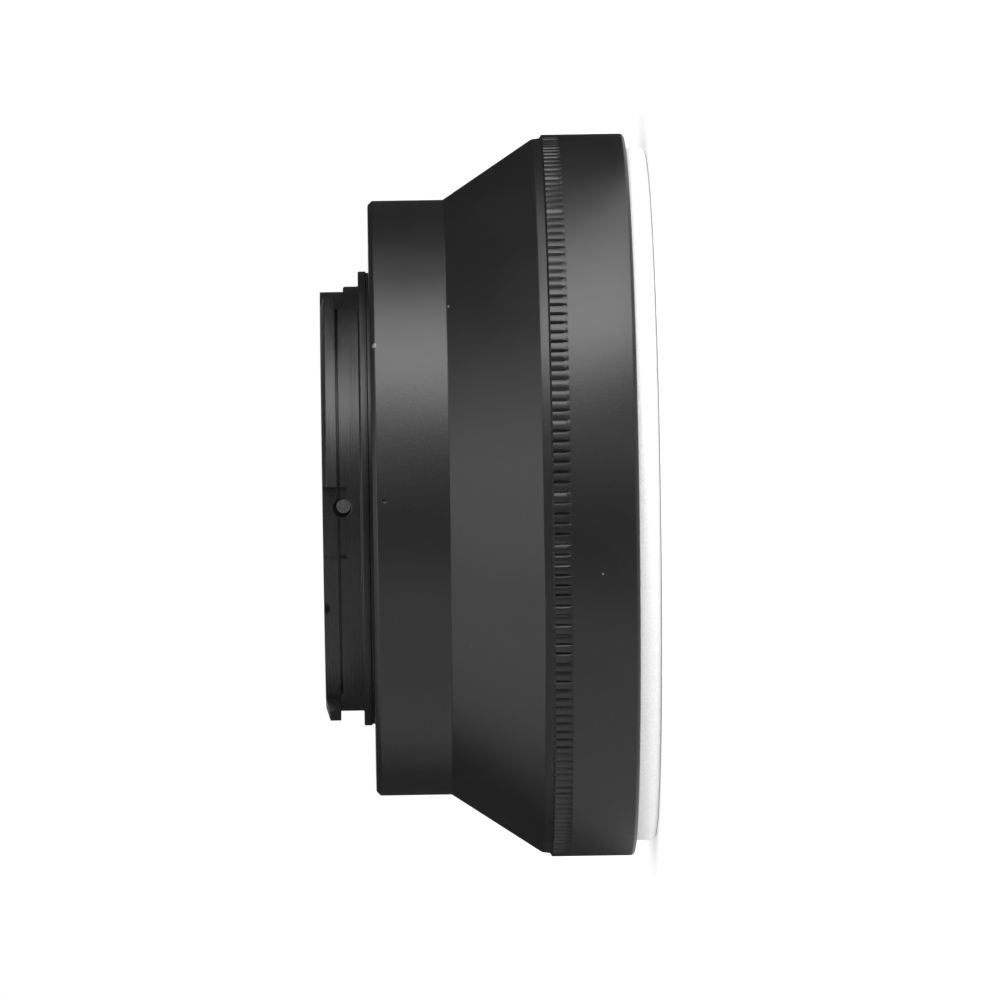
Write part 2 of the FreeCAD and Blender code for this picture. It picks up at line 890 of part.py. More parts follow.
def make_bayonet_screw(number):
    """A cylinder-head screw in its counterbore, with its head towards the lens."""
    label = f"bayonet_screw_{number}"
    body = new_body(label)
    head = radius("bayonet_screw_head")
    head_height = cell("bayonet_screw_head_height")
    shank = radius("bayonet_screw_thread") - cell("thread_clearance")
    face = COUNTERBORE_FLOOR - head_height
    tip = SPIGOT_FLOOR + cell("bayonet_screw_bite") - cell("screw_tip_gap")
    corners = [
        (ZERO, face),
        (head, face),
        (head, COUNTERBORE_FLOOR),
        (shank, COUNTERBORE_FLOOR),
        (shank, tip),
        (ZERO, tip),
    ]
    turn_profile(body, f"{label}_turned", corners)
    cut_cross(body, f"{label}_cross", face, head, head_height)
    spacing = as_size(360) / cell("bayonet_screw_count")
    angle = cell("bayonet_screw_first_angle") + spacing * (number - 1)
    place(body, BAYONET_SCREW_REACH, angle)
    return body


def lug_middle_angle(number):
    spacing = as_size(360) / cell("lug_count")
    return cell("lug_first_start") + cell("lug_width") / 2 + spacing * (number - 1)


def make_spring_screw(number):
    """The slotted screw that holds one leaf spring, with its head towards the camera."""
    label = f"spring_screw_{number}"
    body = new_body(label)
    head = radius("spring_screw_head")
    shank = radius("spring_screw_thread") - cell("thread_clearance")
    seat = HUB_END + cell("leaf_thickness")
    face = seat + cell("spring_screw_head_height")
    tip = HUB_END - cell("spring_screw_bite") + cell("screw_tip_gap")
    corners = [
        (ZERO, tip),
        (shank, tip),
        (shank, seat),
        (head, seat),
        (head, face),
        (ZERO, face),
    ]
    turn_profile(body, f"{label}_turned", corners)
    half_width = radius("cross_width")
    depth = cell("spring_screw_head_height") * cell("cross_depth_share")
    reach = head + CLEAR_CUT
    slot = new_sketch(body, f"{label}_slot_plan", "XY_Plane", face - depth)
    draw_loop(slot, box_corners(-reach, reach, -half_width, half_width))
    cut_outward(body, f"{label}_slot", slot, depth + CLEAR_CUT)
    place(body, SPRING_SCREW_REACH, lug_middle_angle(number))
    return body


# Leaf springs
def make_lens_spring(number):
    """A bowed leaf behind a lug, flat in the middle where its ear is screwed down."""
    label = f"lens_spring_{number}"
    body = new_body(label)
    inner = LUG + cell("leaf_from_lug")
    outer = PILOT - cell("leaf_from_pilot")
    thickness = cell("leaf_thickness")
    half_length = cell("leaf_half_length")
    half_flat = cell("leaf_flat_half_length")
    bow = HUB_END + cell("leaf_bow")
    blank_start = inner - half_length / 2
    blank = new_sketch(body, f"{label}_side", "YZ_Plane", blank_start)
    draw_loop(
        blank,
        [
            (-half_length, bow),
            (-half_flat, HUB_END),
            (half_flat, HUB_END),
            (half_length, bow),
            (half_length, bow + thickness),
            (half_flat, HUB_END + thickness),
            (-half_flat, HUB_END + thickness),
            (-half_length, bow + thickness),
        ],
    )
    pad(body, f"{label}_blank", blank, outer + CLEAR_CUT - blank_start)
    below = HUB_END - CLEAR_CUT
    above = bow + thickness + CLEAR_CUT
    inside_section = box_corners(inner - half_length, inner, below, above)
    turn_cut(body, f"{label}_inside", inside_section)
    outside_section = box_corners(outer, outer + half_length, below, above)
    turn_cut(body, f"{label}_outside", outside_section)
    half_ear = radius("ear_width")
    ear_end = CHAMBER - cell("ear_clearance")
    ear_plan = new_sketch(body, f"{label}_ear_plan", "XY_Plane", HUB_END)
    draw_loop(ear_plan, box_corners(outer - CLEAR_CUT, ear_end, -half_ear, half_ear))
    ear = pad(body, f"{label}_ear", ear_plan, thickness)
    document.recompute()

    def at_ear_end(edge):
        return same(edge.BoundBox.ZLength, thickness.number) and same(edge.CenterOfMass.x, ear_end.number)

    corners = edges_where(ear, lambda edge: at_ear_end(edge) and edge.BoundBox.YLength < half_ear.number)
    round_edges(body, f"{label}_ear_corners", ear, corners, "ear_corner_round")
    drill(
        body,
        f"{label}_hole",
        "XY_Plane",
        HUB_END - CLEAR_CUT,
        None,
        SPRING_SCREW_REACH,
        ZERO,
        radius("spring_screw_thread") + cell("leaf_hole_clearance"),
        thickness + CLEAR_CUT * 2,
    )
    place(body, ZERO, lug_middle_angle(number))
    return body


# Release slider, lock pin and their spring
def make_release_slider():
    """A T block in the slot, with a ribbed thumb piece outside the barrel."""
    body = new_body("release_slider")
    side = cell("slider_side_clearance")
    half_flange = radius("slot_flange_width") - side
    half_neck = radius("slot_neck_width") - side
    inside = HUB_RADIUS + cell("slider_hub_clearance")
    flange_face = SLOT_FLANGE - side
    thumb_inside = GRIP + cell("thumb_clearance")
    thumb_outside = thumb_inside + cell("thumb_depth")
    angle = cell("slider_angle")
    plan = new_sketch(body, "slider_plan", "XY_Plane", SLIDER_BOTTOM, angle)
    draw_loop(
        plan,
        [
            (inside, -half_flange),
            (flange_face, -half_flange),
            (flange_face, -half_neck),
            (thumb_inside, -half_neck),
            (thumb_inside, half_neck),
            (flange_face, half_neck),
            (flange_face, half_flange),
            (inside, half_flange),
        ],
    )
    pad(body, "slider_block", plan, SLIDER_TOP - SLIDER_BOTTOM)
    half_thumb = radius("thumb_width")
    thumb_bottom = SLIDER_BOTTOM + cell("thumb_raise")
    thumb_plan = new_sketch(body, "thumb_plan", "XY_Plane", thumb_bottom, angle)
    draw_loop(thumb_plan, box_corners(thumb_inside, thumb_outside, -half_thumb, half_thumb))
    thumb = pad(body, "thumb", thumb_plan, cell("thumb_height"))
    document.recompute()

    def is_outer_corner(edge):
        return same(edge.BoundBox.ZLength, cell("thumb_height").number) and (
            from_axis(edge.CenterOfMass) > thumb_outside.number
        )

    round_edges(body, "thumb_corners", thumb, edges_where(thumb, is_outer_corner), "thumb_corner_round")
    ribbed_height = cell("thumb_rib_pitch") * (cell("thumb_rib_count") - 1)
    first_groove = thumb_bottom + (cell("thumb_height") - ribbed_height - cell("thumb_groove_width")) / 2
    groove_plan = new_sketch(body, "thumb_groove_plan", "XY_Plane", first_groove, angle)
    groove_floor = thumb_outside - cell("thumb_groove_depth")
    reach = half_thumb + CLEAR_CUT
    draw_loop(groove_plan, box_corners(groove_floor, thumb_outside + CLEAR_CUT, -reach, reach))
    groove = cut_outward(body, "thumb_groove", groove_plan, cell("thumb_groove_width"))
    ribs = body.newObject("PartDesign::LinearPattern", "thumb_ribs")
    ribs.Originals = [groove]
    ribs.Direction = (origin_item(body, "Z_Axis"), [""])
    ribs.setExpression("Occurrences", cell("thumb_rib_count").formula)
    ribs.setExpression("Length", ribbed_height.formula)
    body.Tip = ribs
    drill(
        body,
        "lock_pin_hole",
        "YZ_Plane",
        inside - CLEAR_CUT,
        angle,
        ZERO,
        LOCK_PIN_HEIGHT,
        radius("lock_pin_diameter"),
        LOCK_PIN_SEAT - inside + CLEAR_CUT,
    )
    return body


def make_lock_pin():
    """A radial pin in the slider, whose chamfered tip stands in the path of a lens tab."""
    body = new_body("lock_pin")
    tip = LUG + cell("lock_pin_short_of_lug")
    seat = LOCK_PIN_SEAT
    sketch = new_sketch(body, "lock_pin_circle", "YZ_Plane", tip, cell("slider_angle"))
    draw_circle(sketch, ZERO, LOCK_PIN_HEIGHT, radius("lock_pin_diameter") - cell("lock_pin_fit"))
    shaft = pad(body, "lock_pin_shaft", sketch, seat - tip)
    document.recompute()

    def is_tip(edge):
        return is_circle(edge) and same(from_axis(edge.Curve.Center), tip.number)

    chamfer = body.newObject("PartDesign::Chamfer", "lock_pin_tip")
    chamfer.Base = (shaft, edges_where(shaft, is_tip))
    chamfer.setExpression("Size", cell("lock_pin_tip_chamfer").formula)
    return body


def make_lock_spring():
    """A compression spring of square wire, between the slider and the end of its hole."""
    wire = radius("lock_spring_wire")
    coil = radius("lock_spring_diameter") - wire
    length = SPRING_SEAT - SLIDER_TOP - wire * 2
    helix = document.addObject("Part::Helix", "lock_spring_line")
    helix.setExpression("Radius", coil.formula)
    helix.setExpression("Height", length.formula)
    helix.setExpression("Pitch", (length / cell("lock_spring_turns")).formula)
    section = document.addObject("Part::RegularPolygon", "lock_spring_section")
    section.Polygon = 4
    section.setExpression("Circumradius", f"{wire.formula} * sqrt(2)")
    upright = App.Rotation(App.Vector(1, 0, 0), 90) * App.Rotation(App.Vector(0, 0, 1), 45)
    section.Placement = App.Placement(App.Vector(coil.number, 0, 0), upright)
    section.setExpression("Placement.Base.x", coil.formula)
    spring = document.addObject("Part::Sweep", "lock_spring")
    spring.Label = "lock_spring"
    spring.Sections = [section]
    spring.Spine = (helix, [])
    spring.Solid = True
    spring.Frenet = True
    place(spring, LOCK_SPRING_REACH, cell("slider_angle"), SLIDER_TOP + wire)
    return spring


# Index beads
def make_bead(label, surface, angle, height):
    """A bead pressed into its hole, a little proud of the barrel."""
    body = new_body(label)
    floor = surface - cell("bead_depth")
    sketch = new_sketch(body, f"{label}_circle", "YZ_Plane", floor, angle)
    draw_circle(sketch, ZERO, height, radius("bead_diameter"))
    bead = pad(body, f"{label}_length", sketch, cell("bead_depth") + cell("bead_rise"))
    document.recompute()
    outer_end = surface + cell("bead_rise")

    def is_outer_end(edge):
        return is_circle(edge) and same(from_axis(edge.Curve.Center), outer_end.number)

    chamfer = body.newObject("PartDesign::Chamfer", f"{label}_edge")
    chamfer.Base = (bead, edges_where(bead, is_outer_end))
    chamfer.setExpression("Size", cell("bead_edge_chamfer").formula)
    return body


# Every piece of the adapter
def make_pieces():
    pieces = [
        make_barrel(),
        make_camera_bayonet(),
        make_stop_pin(),
        make_lens_mount_plate(),
        make_release_slider(),
        make_lock_pin(),
        make_lock_spring(),
        make_bead(
            "camera_index_bead",
            SMALL_END,
            cell("camera_bead_angle"),
            CAMERA_SEAT - cell("camera_bead_below_seat"),
        ),
        make_bead(
            "lens_index_bead",
            GRIP,
            cell("lens_bead_angle"),
            cell("lens_bead_height"),
        ),
    ]
    for number in range(1, int(SIZES["plate_screw_count"]) + 1):
        pieces.append(make_plate_screw(number))
    for number in range(1, int(SIZES["bayonet_screw_count"]) + 1):
        pieces.append(make_bayonet_screw(number))
    for number in range(1, int(SIZES["lug_count"]) + 1):
        pieces.append(make_lens_spring(number))
        pieces.append(make_spring_screw(number))
    return pieces


# A cut that removes nothing, a failed feature or a broken solid stops the build
def check_document():
    cutting = (
        "PartDesign::Pocket",
        "PartDesign::Groove",
        "PartDesign::SubtractiveCone",
        "PartDesign::PolarPattern",
        "PartDesign::LinearPattern",
    )
    for thing in document.Objects:
        for state in ("Invalid", "Error"):
            if state in thing.State:
                raise RuntimeError(f"{thing.Name} is {thing.State}")
        if thing.TypeId in cutting and thing.BaseFeature:
            if thing.Shape.Volume > thing.BaseFeature.Shape.Volume - 1e-6:
                raise RuntimeError(f"{thing.Name} cuts nothing")


def export_pieces(pieces):
    os.makedirs("parts", exist_ok=True)
    for piece in pieces:
        shape = piece.Shape
        if shape.isNull() or not shape.isValid():
            raise RuntimeError(f"{piece.Label} has no valid shape")
        if len(shape.Solids) != 1:
            raise RuntimeError(f"{piece.Label} has {len(shape.Solids)} solids")
        shape.exportStep(f"parts/{piece.Label}.step")
        print(f"{piece.Label:22} {shape.Volume:10.2f} mm3 {len(shape.Faces):5d} faces")


all_pieces = make_pieces()
document.recompute()
check_document()
export_pieces(all_pieces)
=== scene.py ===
# %% [markdown]
# A lens mount adapter
#
# The adapter is a short black tube that joins a lens with a wide bayonet to a small camera body. It stands
# here on its lens end, so the optical axis points up, and the camera's bayonet is on top. The exact solids
# come first, as a fixed frame. Each cell then dresses one piece of it, or adds a finish.

import math
import random

import bmesh
import bpy
from mathutils import Matrix, Vector


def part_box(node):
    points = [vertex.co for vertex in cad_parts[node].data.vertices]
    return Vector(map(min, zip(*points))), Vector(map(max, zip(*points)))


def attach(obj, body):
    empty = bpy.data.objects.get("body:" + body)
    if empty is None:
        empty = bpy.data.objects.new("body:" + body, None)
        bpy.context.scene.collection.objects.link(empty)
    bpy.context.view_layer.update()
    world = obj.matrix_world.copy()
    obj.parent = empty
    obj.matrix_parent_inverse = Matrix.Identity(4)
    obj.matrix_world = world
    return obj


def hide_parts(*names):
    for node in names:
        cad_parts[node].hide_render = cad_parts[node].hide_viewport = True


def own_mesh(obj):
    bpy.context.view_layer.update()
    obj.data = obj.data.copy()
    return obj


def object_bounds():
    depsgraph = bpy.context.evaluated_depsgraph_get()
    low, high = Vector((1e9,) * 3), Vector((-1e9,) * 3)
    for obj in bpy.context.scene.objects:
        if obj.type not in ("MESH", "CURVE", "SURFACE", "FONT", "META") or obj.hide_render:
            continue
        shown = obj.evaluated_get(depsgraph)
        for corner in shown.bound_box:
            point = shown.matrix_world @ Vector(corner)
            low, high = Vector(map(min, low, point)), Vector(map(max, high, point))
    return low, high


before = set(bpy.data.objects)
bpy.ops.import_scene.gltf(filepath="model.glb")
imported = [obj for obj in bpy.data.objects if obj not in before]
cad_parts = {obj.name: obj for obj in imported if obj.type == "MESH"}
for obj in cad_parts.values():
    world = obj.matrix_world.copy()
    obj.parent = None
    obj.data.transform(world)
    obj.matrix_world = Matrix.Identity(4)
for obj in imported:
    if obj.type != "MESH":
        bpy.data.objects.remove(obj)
cad_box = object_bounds()

MM = 0.001
overall = [round(side / MM, 2) for side in cad_box[1] - cad_box[0]]
print("frame of", len(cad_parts), "nodes,", overall, "mm")

# %% [markdown]
# Stations are the heights on the axis where one turned surface ends and the next begins. The main ones come
# from the frame, so the new pieces follow it: the barrel's box gives the face on the lens side, the camera
# seat and the widest radius, and the bayonet's box gives its two ends. The smaller steps between them are
# written in millimetres where they are first needed, as a drawing would give them.

# %% Stations and radii in millimetres
barrel_low, barrel_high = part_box("barrel")
bayonet_low, bayonet_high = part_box("camera_bayonet")
plate_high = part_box("lens_mount_plate")[1]

GRIP_START = barrel_low.z / MM
SEAT = barrel_high.z / MM
SPIGOT_FLOOR = bayonet_low.z / MM
FRONT = bayonet_high.z / MM
HUB_END = plate_high.z / MM

GRIP = barrel_high.x / MM
PLATE = plate_high.x / MM
STEP_RING = bayonet_high.x / MM
THROAT = 21.0
CHAMBER = 33.5
print("seat at", round(SEAT, 2), "front at", round(FRONT, 2), "grip radius", round(GRIP, 2))

# %% [markdown]
# The camera comes before the looks, because every size below is judged through it. The photograph was taken
# from the side with a long lens, about a metre away, with the adapter lying down. Here the adapter stands,
# so the camera is rolled: the picture's right is down the axis, towards the lens seat, and the picture's
# top is +X. The adapter lay a little out of level, which the tilt repeats.

# %% Camera
CAMERA_DISTANCE = 0.998
CAMERA_HEIGHT = 0.032
AIM = Vector((-0.0004, 0.0, 0.0164))
TILT = math.radians(0.9)
LENS = 327.6
NEAREST = 0.05
FARTHEST = 60

camera_place = Vector((AIM.x, -CAMERA_DISTANCE, CAMERA_HEIGHT))
backwards = (camera_place - AIM).normalized()
picture_right = Vector((-math.sin(TILT), 0.0, -math.cos(TILT)))
picture_right = (picture_right - backwards * picture_right.dot(backwards)).normalized()
picture_up = backwards.cross(picture_right)

lens_data = bpy.data.cameras.new("camera")
lens_data.lens = LENS
lens_data.clip_start = NEAREST
lens_data.clip_end = FARTHEST
camera = bpy.data.objects.new("camera", lens_data)
bpy.context.collection.objects.link(camera)
axes = Matrix((picture_right, picture_up, backwards)).transposed().to_4x4()
camera.matrix_world = Matrix.Translation(camera_place) @ axes
bpy.context.scene.camera = camera
bpy.context.scene.view_settings.view_transform = "Standard"
print("camera at", [round(c, 3) for c in camera_place])

# %% [markdown]
# Nearly every piece was turned on a lathe, so it is one outline spun round the axis. The outline is drawn
# as a wire in the XZ plane. Bevelling a wire's corner rounds it, which is how a turned part gets the small
# radii that catch the light. One narrow sector is spun first, and then repeated all the way round, because
# a spin gets slow when it has hundreds of steps. Merging the doubles closes the ring.

# %% Turning
COLUMNS = 900
SECTORS = 30
MERGE = 0.002 * MM
ROUND_THE_AXIS = {"cent": (0, 0, 0), "axis": (0, 0, 1)}


def turned(corners, columns=COLUMNS, segments=3):
    """A ring from its outline. A corner is its radius, its height and how far it is rounded."""
    bm = bmesh.new()
    points = [bm.verts.new((radius * MM, 0, height * MM)) for radius, height, _ in corners]
    for here, there in zip(points, points[1:] + points[:1]):
        bm.edges.new((here, there))
    for point, (_, _, size) in zip(points, corners):
        if size:
            bmesh.ops.bevel(
                bm,
                geom=[point],
                offset=size * MM,
                offset_type="OFFSET",
                segments=segments,
                profile=0.5,
                affect="VERTICES",
                material=-1,
            )
    part = math.tau / SECTORS
    wire = bm.verts[:] + bm.edges[:]
    bmesh.ops.spin(bm, geom=wire, angle=part, steps=columns // SECTORS, **ROUND_THE_AXIS)
    strip = bm.verts[:] + bm.edges[:] + bm.faces[:]
    rest = math.tau - part
    bmesh.ops.spin(bm, geom=strip, angle=rest, steps=SECTORS - 1, use_duplicate=True, **ROUND_THE_AXIS)
    bmesh.ops.remove_doubles(bm, verts=bm.verts, dist=MERGE)
    bmesh.ops.recalc_face_normals(bm, faces=bm.faces)
    return bm


# %% [markdown]
# Mills and drills take plain shapes out of a turned piece: a part of a ring, a box or a round hole. Each is
# made here as a closed solid, from the place and the angle that a workshop drawing would give. A tool
# stands a little past the surface that it opens, so no thin skin is left there.

# %% Shapes of the tools
PAST = 1.0


def polar(radius, angle, height):
    """A point in millimetres from its radius, its angle in degrees and its height."""
    turn = math.radians(angle)
    return Vector((radius * math.cos(turn), radius * math.sin(turn), height))


def sector(low_radius, high_radius, low_height, high_height, start, width):
    """A solid part of a ring, from one angle over a width in degrees."""
    bm = bmesh.new()
    corners = [
        (low_radius, low_height),
        (high_radius, low_height),
        (high_radius, high_height),
        (low_radius, high_height),
    ]
    turn = Matrix.Rotation(math.radians(start), 3, "Z")
    points = [bm.verts.new(turn @ Vector((radius * MM, 0, height * MM))) for radius, height in corners]
    face = bm.faces.new(points)
    bmesh.ops.spin(bm, geom=[face], angle=math.radians(width), steps=max(1, int(width)), **ROUND_THE_AXIS)
    bmesh.ops.recalc_face_normals(bm, faces=bm.faces)
    return bm


def block(low, high, angle):
    """A box along a radial line at an angle, in millimetres."""
    low, high = Vector(low), Vector(high)
    bm = bmesh.new()
    place = Matrix.Translation((low + high) / 2 * MM) @ Matrix.Diagonal((*((high - low) * MM), 1))
    bmesh.ops.create_cube(bm, size=1, matrix=Matrix.Rotation(math.radians(angle), 4, "Z") @ place)
    return bm


def post(radius, start, end, top_radius=None, columns=48):
    """A round bar or hole between two places, in millimetres."""
    along = end - start
    upright = along.to_track_quat("Z", "Y").to_matrix().to_4x4()
    bm = bmesh.new()
    bmesh.ops.create_cone(
        bm,
        cap_ends=True,
        segments=columns,
        radius1=radius * MM,
        radius2=(top_radius or radius) * MM,
        depth=along.length * MM,
        matrix=Matrix.Translation((start + end) / 2 * MM) @ upright,
    )
    return bm


def side_hole(radius, angle, height, inner, outer, **shape):
    """A round tool along a radial line, between two radii."""
    return post(radius, polar(inner, angle, height), polar(outer, angle, height), **shape)


def axial_hole(radius, circle, angle, low, high, **shape):
    """A round tool parallel to the axis, at an angle on a circle."""
    return post(radius, polar(circle, angle, low), polar(circle, angle, high), **shape)


# %% [markdown]
# A cut is a Boolean with the tools as cutters, which leaves the turned surface as it was elsewhere. It is
# applied at once, so that the piece ends as a plain mesh and the tools can be thrown away. For shading, the
# real edges are kept sharp, and the weighted normals hold the large faces flat right up to their rounded
# edges. Without them, a turned face would look soft, like moulded rubber.

# %% Objects, cuts and shading
SHARP = math.radians(32)


def make_object(bm, name):
    """Puts a bmesh into the scene as an object at the origin."""
    mesh = bpy.data.meshes.new(name)
    bm.to_mesh(mesh)
    bm.free()
    piece = bpy.data.objects.new(name, mesh)
    bpy.context.collection.objects.link(piece)
    return piece


def cut(piece, tools):
    """Cuts closed tool shapes out of a piece, one after another."""
    cutters = [make_object(tool, "tool") for tool in tools]
    for cutter in cutters:
        step = piece.modifiers.new("cut", "BOOLEAN")
        step.operation = "DIFFERENCE"
        step.solver = "MANIFOLD"
        step.object = cutter
    view = bpy.context.evaluated_depsgraph_get()
    result = bpy.data.meshes.new_from_object(piece.evaluated_get(view))
    piece.modifiers.clear()
    piece.data = result
    for cutter in cutters:
        bpy.data.objects.remove(cutter)
    print(piece.name, "after", len(tools), "cuts:", len(result.polygons), "faces")


def finish_shape(piece):
    """Smooth shading with sharp real edges and flat large faces."""
    for face in piece.data.polygons:
        face.use_smooth = True
    piece.data.set_sharp_from_angle(angle=SHARP)
    flat = piece.modifiers.new("flat_faces", "WEIGHTED_NORMAL")
    flat.keep_sharp = True


# %% [markdown]
# The barrel is one turned body: the wide grip, a low land beside the knurl, the cone and the small end. Its
# outline has a row of points at each station of the knurl, so that the teeth can be pressed in afterwards.
# The bore steps down towards the camera, which keeps stray light off the picture.

# %% Barrel, turned
KNURL_START = 9.45
KNURL_ROWS = [9.56, 9.85, 10.1, 11.2, 11.32]
LAND_START = 11.53
LAND_END = 12.42
CONE_END = 22.2
LAND = 39.19
LAND_SMALL_END = 39.08
SMALL = 32.6
SMALL_CHAMFER = 0.48

STEP_COUNT = 4
STEPS_TOP = 21.4
CHAMBER_FLOOR = 8.8
REAR_BORE = 25.2
MOUTH = 28.4
SHOULDER = 26.4
RECESS = 24.9

bore = [(REAR_BORE, SHOULDER, 0), (REAR_BORE, STEPS_TOP, 0)]
for number in range(STEP_COUNT):
    wall = REAR_BORE + (MOUTH - REAR_BORE) * (number + 1) / STEP_COUNT
    fall = (STEPS_TOP - CHAMBER_FLOOR) / STEP_COUNT
    bore += [(wall, STEPS_TOP - fall * number, 0), (wall, STEPS_TOP - fall * (number + 1), 0)]

barrel_outline = [
    (CHAMBER, GRIP_START, 0.15),
    (GRIP, GRIP_START, 0.45),
    (GRIP, KNURL_START - 0.06, 0),
    (GRIP, KNURL_START, 0),
    *[(GRIP, height, 0) for height in KNURL_ROWS],
    (LAND, LAND_START, 0),
    (LAND_SMALL_END, LAND_END, 0.1),
    (SMALL, CONE_END, 0.1),
    (SMALL, SEAT - SMALL_CHAMFER, 0.1),
    (SMALL - SMALL_CHAMFER, SEAT, 0.1),
    (RECESS, SEAT, 0.12),
    (RECESS, SPIGOT_FLOOR, 0),
    (THROAT, SPIGOT_FLOOR, 0),
    (THROAT, SHOULDER, 0.1),
    *bore,
    (CHAMBER, CHAMBER_FLOOR, 0.2),
]
barrel_shape = turned(barrel_outline, segments=4)
print("barrel:", len(barrel_shape.verts), "points")

# %% [markdown]
# The knurl is pressed into the grip's edge with a wheel, so its 225 grooves are V shaped and not quite
# alike. Modelling one tooth and repeating it would be easier, but then all teeth would be equal. Here the
# ring has four columns to a tooth: the groove's bottom, the two edges of the crest and the crest's middle.
# Each point in the band is moved to its place in that tooth. The wheel bit less towards the grip, so each
# row of points has its own share of the full depth.

# %% Barrel, knurled
TEETH = 225
COLUMNS_PER_TOOTH = 4
TOOTH_ANGLE = math.tau / TEETH
GROOVE_DEPTH = 0.36
GROOVE_HALF = 0.22 / GRIP
CREST_FALL = 0.07
SHARES = [0.4, 0.7, 0.95, 1.0, 0.95]
SAME_PLACE = 0.01

dice = random.Random(7)
tooth_depth = [dice.uniform(0.65, 1.0) for _ in range(TEETH)]
tooth_slip = [dice.uniform(-0.05, 0.05) * TOOTH_ANGLE for _ in range(TEETH)]

for point in barrel_shape.verts:
    reach = math.hypot(point.co.x, point.co.y) / MM
    height = point.co.z / MM
    share = next((share for row, share in zip(KNURL_ROWS, SHARES) if abs(row - height) < SAME_PLACE), None)
    if share is None or reach < GRIP - SAME_PLACE:
        continue
    column = round(math.atan2(point.co.y, point.co.x) / TOOTH_ANGLE * COLUMNS_PER_TOOTH)
    tooth, place = divmod(column, COLUMNS_PER_TOOTH)
    angle = column / COLUMNS_PER_TOOTH * TOOTH_ANGLE
    if place == 0:
        angle += tooth_slip[tooth % TEETH]
        reach -= GROOVE_DEPTH * share * tooth_depth[tooth % TEETH]
    elif place == 1:
        angle = tooth_slip[tooth % TEETH] + tooth * TOOTH_ANGLE + GROOVE_HALF * share
        reach -= CREST_FALL * share
    elif place == 3:
        angle = tooth_slip[(tooth + 1) % TEETH] + (tooth + 1) * TOOTH_ANGLE - GROOVE_HALF * share
        reach -= CREST_FALL * share
    point.co.x = reach * MM * math.cos(angle)
    point.co.y = reach * MM * math.sin(angle)
print(TEETH, "teeth, grooves up to", round(GROOVE_DEPTH * max(tooth_depth), 2), "mm deep")

# %% [markdown]
# What a mill and a drill took out of the barrel comes last. First the T slot of the release slider: a wide
# slot under a narrow neck, so that the slider can't fall out, and above it the hole of the slider's spring.

# %% Barrel, slot of the release
SLIDER_ANGLE = 90
SLOT_FLOOR = 32.5
SLOT_ROOF = 36.8
SLOT_HALF = 3.2
SLOT_END = 9.1
NECK_FLOOR = 36.5
NECK_HALF = 1.7
SPRING_CIRCLE = 35.2
SPRING_HOLE = 1.35
SPRING_HOLE_START = SLOT_END - 0.5
SPRING_HOLE_END = 14.1

barrel_tools = [
    block((SLOT_FLOOR, -SLOT_HALF, GRIP_START - PAST), (SLOT_ROOF, SLOT_HALF, SLOT_END), SLIDER_ANGLE),
    block((NECK_FLOOR, -NECK_HALF, GRIP_START - PAST), (GRIP + PAST, NECK_HALF, SLOT_END), SLIDER_ANGLE),
    axial_hole(SPRING_HOLE, SPRING_CIRCLE, SLIDER_ANGLE, SPRING_HOLE_START, SPRING_HOLE_END),
]
print("slot", 2 * SLOT_HALF, "mm wide under a neck of", 2 * NECK_HALF, "mm")

# %% [markdown]
# Then the round holes: the recess that the camera's lock pin drops into, the holes of the two index beads,
# a small pit in the side and the seats of the four bayonet screws. All are plain drilled shapes.

# %% Barrel, holes
LOCK_RECESS = 1.3
LOCK_RECESS_DEPTH = 2.2
LOCK_RECESS_ANGLE = 62
LOCK_RECESS_CIRCLE = 28.7
BEAD_HOLE = 1.12
BEAD_DEPTH = 0.9
BEAD_PLACES = [(SMALL, 118, SEAT - 2.4), (GRIP, 64, 5.9)]
PIT_ANGLE = 269.5
PIT_HEIGHT = 29.1
PIT_DEPTH = 0.18
PIT_FLOOR = 0.12
PIT_MOUTH = 0.42
SCREW_HEAD = 1.5
SCREW_HEAD_DEPTH = 1.3
SCREW_CIRCLE = 23
SCREW_ANGLES = [20, 110, 200, 290]

barrel_tools.append(
    axial_hole(LOCK_RECESS, LOCK_RECESS_CIRCLE, LOCK_RECESS_ANGLE, SEAT - LOCK_RECESS_DEPTH, SEAT + PAST)
)
for radius, angle, height in BEAD_PLACES:
    barrel_tools.append(side_hole(BEAD_HOLE, angle, height, radius - BEAD_DEPTH, radius + PAST))
barrel_tools.append(
    side_hole(
        PIT_FLOOR, PIT_ANGLE, PIT_HEIGHT, SMALL - PIT_DEPTH, SMALL + 0.1, top_radius=PIT_MOUTH, columns=16
    )
)
for angle in SCREW_ANGLES:
    barrel_tools.append(
        axial_hole(SCREW_HEAD, SCREW_CIRCLE, angle, SHOULDER - PAST, SHOULDER + SCREW_HEAD_DEPTH)
    )

barrel = make_object(barrel_shape, "barrel_body")
cut(barrel, barrel_tools)
finish_shape(barrel)
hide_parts("barrel")
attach(barrel, "housing")

# %% [markdown]
# The camera bayonet is turned with one whole flange at its front, and the flange is then milled away
# between the three tabs. The same order works here: one outline is spun, and sectors of a ring are cut out
# of it. The first tab has a deeper pocket at each end, with a shallow step in the collar below it, where
# the cutter ran out. A fine undercut runs behind the flange, from the third tab to the end of the first.

